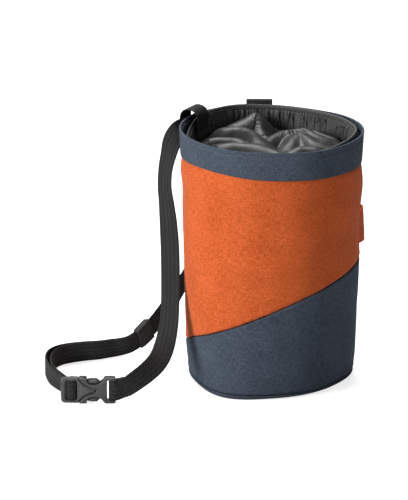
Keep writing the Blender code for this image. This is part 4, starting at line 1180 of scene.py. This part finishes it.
def rear_route():
    """From the left loop through the back one and down to the adjuster, and where the keeper is."""
    held = [belt_in_loop(LEFT_LOOP_AZIMUTH, side) for side in (0, -0.5, -1)] + belt_between_loops()
    held += [belt_in_loop(BACK_LOOP_AZIMUTH, side) for side in (1, 0, -0.5, -1)]
    lying = [from_shares(row) for row in FLOOR_ROUTE]
    in_slot = INNER_SLOT + BELT_GAP + BELT_WALL / 2 + SLOT_EASE
    entry = [(buckle_point(INNER_SLOT + 1.5 * MM, -ENTRY_LEAD), UP),
             (buckle_point(in_slot + 1.2 * MM, -BEHIND - 1.2 * MM), UP)]
    stations = held + [from_shares(row) for row in BACK_ROUTE] + lying + entry
    route = calm(off_the_floor(smooth_route(stations)), 25)
    keeper = min(range(len(route)), key=lambda i: (route[i][0] - lying[0][0]).length)
    return squared(route), keeper


rear_frames, keeper_index = rear_route()


def floor_frames():
    """From the keeper to the adjuster, round its middle bar and back beyond the keeper."""
    turn = bar_turn(MIDDLE_BAR, -40, 215, 18, 1)
    tail = [(buckle_point(a * MM, -b * MM, -c * MM), UP) for a, b, c in TAIL_POINTS]
    start = len(rear_frames) - TAIL_START
    stop = keeper_index - round(TAIL_BEYOND_KEEPER / ROUTE_STEP)
    for i in range(start, stop - 1, -1):
        point, across, ahead = rear_frames[i]
        share = limited((i - keeper_index) / (start - keeper_index))
        stand_off = TAIL_STEP + (TAIL_SPREAD - TAIL_STEP) * bell(share - 0.63, 0.16)
        tail.append((point + ahead.cross(across) * stand_off, across))
    under = [(point, across) for point, across, _ in rear_frames[keeper_index:]]
    return squared(under + turn + tail)


# %% [markdown]
# ## Webbing
# The outline of a strap is a flat bar with round edges. Nine ribs run along both faces, which is
# what makes the light break into fine lines along the belt.

# %% Webbing outline
def strap_outline(width, wall, ribs, rib_depth):
    """Outline of webbing with ribs that run along it, four points to a rib."""
    half, edge_radius = width / 2 - wall / 2, wall / 2
    face = []
    for k in range(ribs * 4 + 1):
        groove = rib_depth * 0.5 * (1.0 + math.cos(math.pi / 2 * k))
        face.append((-half + 2 * half * k / (ribs * 4), edge_radius - groove))
    turn = [(half + edge_radius * math.sin(a), (edge_radius - rib_depth) * math.cos(a))
            for a in (math.pi * k / 5 for k in range(1, 5))]
    upper = face + turn
    return upper + [(-a, -b) for a, b in upper]


def webbing(name, frames, section, look, node):
    """Carry a strap's outline along frames of (place, across, ahead)."""
    stations = [(point, across, ahead.cross(across)) for point, across, ahead in frames]
    add_piece(name, sweep(name, stations, lambda distance: section), look, node)


belt_section = strap_outline(BELT_WIDTH, BELT_WALL, BELT_RIBS, 0.26 * MM)
belt_length = 0.0
for name, run in (("belt_front", front_route()), ("belt_back", rear_frames[:keeper_index + 1]),
                  ("belt_floor", floor_frames())):
    webbing(name, run, belt_section, black_webbing, name + "_run")
    belt_length += sum((b[0] - a[0]).length for a, b in zip(run, run[1:]))
print("belt length in mm:", round(belt_length / MM))

# %% [markdown]
# ## Keeper
# A short elastic sleeve holds the free end against the belt. It is a rounded box that follows the
# belt's curve and is drawn in at its hemmed ends.

# %% Keeper sleeve
KEEPER_STEPS = 56
KEEPER_CORNER = 1.5 * MM
KEEPER_ROOM = (1.0 * MM, 1.3 * MM)      # beyond the two layers of webbing: sideways and across


def frame_beyond(frames, index, distance):
    """The frame at a distance along a route from one of its stations."""
    step = 1 if distance > 0 else -1
    left = abs(distance)
    while (frames[index + step][0] - frames[index][0]).length < left:
        left -= (frames[index + step][0] - frames[index][0]).length
        index += step
    here, there = frames[index], frames[index + step]
    share = left / (there[0] - here[0]).length
    return [a.lerp(b, share) for a, b in zip(here, there)]


def sleeve_outline(distance):
    from_end = min(distance, KEEPER_LENGTH - distance)
    hem = 0.30 * MM * bell(from_end - 1.6 * MM, 0.5 * MM) + 0.35 * MM * bell(from_end, 0.35 * MM)
    half_w = BELT_WIDTH / 2 + KEEPER_ROOM[0] - hem - KEEPER_CORNER
    half_t = (BELT_WALL * 2 + BELT_GAP) / 2 + KEEPER_ROOM[1] - hem - KEEPER_CORNER
    made = []
    for quarter, (a, b) in enumerate(((1, 1), (-1, 1), (-1, -1), (1, -1))):
        for angle in (math.radians(90 * quarter + 18.0 * k) for k in range(6)):
            made.append((a * half_w + KEEPER_CORNER * math.cos(angle),
                         b * half_t + KEEPER_CORNER * math.sin(angle)))
    return made


sleeve = []
for k in range(KEEPER_STEPS + 1):
    distance = KEEPER_LENGTH * (k / KEEPER_STEPS - 0.5) + 1e-6
    point, across, ahead = frame_beyond(rear_frames, keeper_index, distance)
    face = ahead.cross(across).normalized()
    sleeve.append((point + face * (TAIL_STEP / 2), across.normalized(), face))
sleeve_mesh = sweep("keeper_sleeve", sleeve, sleeve_outline)
add_piece("keeper_sleeve", sleeve_mesh, elastic, "belt_keeper")

# %% [markdown]
# ## Belt loops
# Both loops are cut from a wider tape with ribs along it, like the belt's. The left one starts
# inside the mouth, arches over ring and rim and is sewn down outside. The back one stands just
# over the rim. Each is drawn as a side view and then swept with the tape's outline.

# %% Loop profiles
def arch(low_offset, high_offset, base_z, rise, steps):
    middle, reach = (low_offset + high_offset) / 2, (high_offset - low_offset) / 2
    return [(middle + reach * math.cos(a), base_z + rise * math.sin(a))
            for a in (math.pi * (1.0 - k / steps) for k in range(steps + 1))]


LEG_LOW = BAG_HEIGHT - BELT_DROP - BELT_WIDTH / 2 - LOOP_WALL
FOOT_Z = BAG_HEIGHT - LOOP_LENGTH
LEG = BELT_WALL / 2 + BELT_GAP + LOOP_WALL / 2      # from the belt's middle to a leg's middle


def inside_mouth(depth):
    """How far inside the band the left loop hangs, at a depth below the rim."""
    place, _, out = band_frame(LEFT_LOOP_AZIMUTH)
    reach = math.degrees(LOOP_WIDTH / 2 / MOUTH_RADIUS)
    thick = RING_WALL + GATHER_DEPTH + PIPING_RADIUS
    azimuths = [LEFT_LOOP_AZIMUTH + side * reach for side in (-1, 0, 1)]
    faces = [(polar(ring_radius(a, depth) - thick, a, 0.0) - place).dot(out) for a in azimuths]
    return min(faces) - SEWN_GAP - LOOP_WALL / 2


def left_profile():
    sewn = SEWN_GAP + LOOP_WALL / 2
    start = [(inside_mouth(CLOTH_EDGE_DEPTH), BAG_HEIGHT - CLOTH_EDGE_DEPTH + 6.5 * MM),
             (inside_mouth(0.0), BAG_HEIGHT - CLOTH_EDGE_DEPTH / 2)]
    outer = BELT_CLEARANCE + LEG
    over = arch(inside_mouth(0.0), outer, BAG_HEIGHT, LEFT_LOOP_RISE - LOOP_WALL / 2, 8)
    return start + over + [(outer, LEG_LOW), (sewn, LEG_LOW - LOOP_JOG), (sewn, FOOT_Z)]


def back_profile():
    inner, outer = BELT_CLEARANCE - LEG, BELT_CLEARANCE + LEG
    beside = inner + LOOP_WALL + SEWN_GAP
    over = arch(inner, outer, BAG_HEIGHT + BACK_LOOP_RISE - LEG - LOOP_WALL / 2, LEG, 6)
    return [(inner, FOOT_Z), (inner, BAG_HEIGHT - BELT_DROP)] + over + [
        (outer, LEG_LOW), (beside, LEG_LOW - LOOP_JOG), (beside, FOOT_Z)]


# %% Loops
def tape_loop(name, profile, azimuth, width, node):
    """A loop of ribbed tape whose side view is a list of offsets from the band and heights."""
    place, along, out = band_frame(azimuth)
    corners = [place + out * offset + UP * z for offset, z in profile]
    route = []
    for a, b in zip(corners, corners[1:]):
        parts = max(1, round((b - a).length / (0.8 * MM)))
        route += [(a.lerp(b, k / parts), along) for k in range(parts)]
    frames = squared(route + [(corners[-1], along)])
    webbing(name, frames, strap_outline(width, LOOP_WALL, LOOP_RIBS, 0.40 * MM), loop_webbing, node)


tape_loop("left_tape", left_profile(), LEFT_LOOP_AZIMUTH, LOOP_WIDTH - 1.0 * MM, "left_loop")
tape_loop("back_tape", back_profile(), BACK_LOOP_AZIMUTH, LOOP_WIDTH + 1.2 * MM, "back_loop")

# %% [markdown]
# ## Brush loop
# A small tunnel of the wall's cloth at the right side holds a brush. Both ends are sewn down and
# it stands open above and below.

# %% Brush loop
BRUSH_SPAN = (2.0, 38.0)
BRUSH_HEIGHT = 108.5 * MM
BRUSH_WIDTH = 25.0 * MM
BRUSH_BULGE = 8.8 * MM
BRUSH_SEWN = 0.16


def brush_place(u, w):
    azimuth = BRUSH_SPAN[0] + (BRUSH_SPAN[1] - BRUSH_SPAN[0]) * u
    z = BRUSH_HEIGHT + BRUSH_WIDTH * (w - 0.5)
    rise = math.sin(math.pi * limited((u - BRUSH_SEWN) / (1.0 - 2.0 * BRUSH_SEWN)))
    bulge = BRUSH_BULGE * rise ** 0.8 * (1.0 - 0.25 * w)
    hem = 0.25 * MM * (bell(w - 0.12, 0.03) + bell(w - 0.88, 0.03))
    soft = 0.3 * MM * round_noise(azimuth, z, 8.0, 1.0, 2.0) * rise
    return polar(wall_radius(azimuth, z) + SEWN_GAP + 0.6 * MM + bulge - hem + soft, azimuth, z)


brush_tunnel = panel("brush_tunnel", brush_place, (70, 40), (56 * MM, BRUSH_WIDTH), orange,
                     "brush_loop", 1.2 * MM, 0, 0.3 * MM)

# %% [markdown]
# ## The buckle
# A side-release buckle has two mouldings. The clip carries the adjuster: a frame with two slots
# and a bar between them. Its two prongs reach into the socket and show in windows at the sides.
# The socket has a notch like an arrow in front, and at its other end a bar for the sewn strap.
# Each plate is drawn as a flat curve with its holes, which gives every edge the same small round.

# %% Flat mouldings
def softened(points, times=2):
    """Cut each corner of an outline as often as asked, which leaves it rounded."""
    for _ in range(times):
        cut = []
        for k, (x, y) in enumerate(points):
            next_x, next_y = points[(k + 1) % len(points)]
            cut += [(x * 0.78 + next_x * 0.22, y * 0.78 + next_y * 0.22),
                    (x * 0.22 + next_x * 0.78, y * 0.22 + next_y * 0.78)]
        points = cut
    return points


def mirrored(points):
    return [(x, -y) for x, y in reversed(points)]


def slot_hole(low, high, half):
    """A rounded slot across the buckle, between two places along it."""
    return softened([(low, -half), (high, -half), (high, half), (low, half)])


def moulding(name, outlines, near, far, soft):
    """A plate between two depths, all in millimetres; outlines after the first are holes."""
    curve = bpy.data.curves.new(name, "CURVE")
    curve.dimensions = "2D"
    curve.fill_mode = "BOTH"
    curve.extrude = ((near - far) / 2 - soft) * MM
    curve.bevel_depth = soft * MM
    curve.bevel_resolution = 2
    curve.offset = -soft * MM
    curve.render_resolution_u = 0
    for outline in outlines:
        spline = curve.splines.new("POLY")
        spline.points.add(len(outline) - 1)
        for item, (x, y) in zip(spline.points, outline):
            item.co = (x * MM, y * MM, 0.0, 1.0)
        spline.use_cyclic_u = True
    guide = bpy.data.objects.new(name + "_guide", curve)
    bpy.context.scene.collection.objects.link(guide)
    graph = bpy.context.evaluated_depsgraph_get()
    form = bmesh.new()
    form.from_mesh(bpy.data.meshes.new_from_object(guide.evaluated_get(graph)))
    bpy.data.objects.remove(guide)
    weld(form)
    for vert in form.verts:
        vert.co = buckle_point(vert.co.x, (near + far) / 2 * MM + vert.co.z, vert.co.y)
    form.normal_update()
    bmesh.ops.recalc_face_normals(form, faces=form.faces)
    return finished(form, name)


def moulded(name, plates, look, node):
    """One half of the buckle, joined from its plates."""
    form = bmesh.new()
    for plate in plates:
        form.from_mesh(moulding(*plate))
    add_piece(name, finished(form, name), look, node)


# %% Clip
adjuster = [(0.3, 6.6), (0.9, 8.4), (2.4, 9.3), (12.6, 9.45), (13.0, 9.4), (13.05, 9.0), (13.05, 5.6)]
tongue = [(12.8, 8.0), (13.2, 7.6), (16.2, 4.6), (19.9, 2.5), (23.3, 1.45), (24.6, 1.1)]
tongue_relief = [(14.2, 5.2), (16.6, 3.3), (20.0, 1.6), (22.9, 0.7)]
prong_root = [(11.6, 9.1), (16.0, 9.1)]
prong = [(13.0, 4.5), (13.0, 7.2), (18.9, 8.1), (22.0, 8.8), (26.2, 8.7), (28.6, 6.2), (28.9, 4.5)]
tab = [(20.0, 5.5), (20.2, 7.4), (22.3, 8.0), (25.6, 7.9), (27.2, 6.3), (27.0, 5.5)]
moulded("clip", (
    ("adjuster_frame", [softened(adjuster + mirrored(adjuster)), slot_hole(3.1, 6.3, 7.6),
                        slot_hole(8.9, 12.1, 7.6)], 2.2, -2.2, 0.45),
    ("tongue", [softened(tongue + mirrored(tongue))], 2.8, -1.2, 0.4),
    ("tongue_relief", [softened(tongue_relief + mirrored(tongue_relief))], 3.2, 2.0, 0.3),
    ("prong_root", [prong_root + mirrored(prong_root)], 1.0, -1.0, 0.3),
    ("upper_prong", [softened(prong)], 1.0, -1.0, 0.3),
    ("lower_prong", [softened(mirrored(prong))], 1.0, -1.0, 0.3),
    ("upper_tab", [softened(tab)], 2.5, -2.5, 0.5),
    ("lower_tab", [softened(mirrored(tab))], 2.5, -2.5, 0.5),
), clip_plastic, "buckle_clip")

# %% Socket
shoulder = [(18.2, 9.45), (18.7, 9.2), (18.9, 6.8), (20.9, 4.9), (25.2, 4.6), (28.4, 5.5), (30.4, 7.5),
            (31.4, 9.2), (33.0, 9.45), (38.0, 9.45), (39.2, 8.8), (39.2, 7.8), (33.5, 7.8), (33.1, 7.4)]
notch = [(25.3, 1.2), (23.4, 2.0), (20.0, 3.1), (16.6, 5.3), (13.3, 8.7), (13.3, 9.35), (13.6, 9.45)]
front = notch + shoulder
back = [(13.3, 9.35), (13.6, 9.45)] + shoulder
core = [(29.8, 5.6), (31.4, 8.9), (38.2, 9.1), (38.9, 8.5), (38.9, 7.9), (33.4, 7.9), (33.2, 7.5)]
spine = [(25.6, 3.4), (30.4, 3.9)]
moulded("socket", (
    ("socket_front", [softened([(25.5, 0.0)] + front + mirrored(front))], 3.6, 1.75, 0.5),
    ("socket_back", [softened(back + mirrored(back))], -1.75, -3.6, 0.5),
    ("socket_core", [softened(core + mirrored(core))], 2.0, -2.0, 0.2),
    ("socket_spine", [softened(spine + mirrored(spine), 1)], 2.0, -2.0, 0.2),
    ("socket_bar", [[(37.3, -8.3), (39.4, -8.3), (39.4, 8.3), (37.3, 8.3)]], 1.25, -1.25, 0.3),
), plastic, "buckle_socket")

# %% [markdown]
# ## Stitches on the belt
# Two rows of stitches close the fold behind the socket, where the belt is sewn round its bar.

# %% Fold stitches
def across_the_belt(beyond, count, half):
    """Spots for a row of stitches across the belt, at a distance beyond the socket."""
    fold_out = BELT_GAP / 2 + BELT_WALL + 0.02 * MM
    heights = [2 * half * (k + 0.5) / count - half for k in range(count)]
    return [(buckle_point(BUCKLE_LENGTH + beyond, fold_out, FOLD_LIFT * beyond / FOLD_BACK + up),
             UP, Vector((0.0, -1.0, 0.0))) for up in heights]


fold_spots = across_the_belt(6.4 * MM, 9, 6.6 * MM) + across_the_belt(7.4 * MM, 9, 6.6 * MM)
stitch_row("fold_stitches", fold_spots, 1.25 * MM, 0.35 * MM, black_thread)
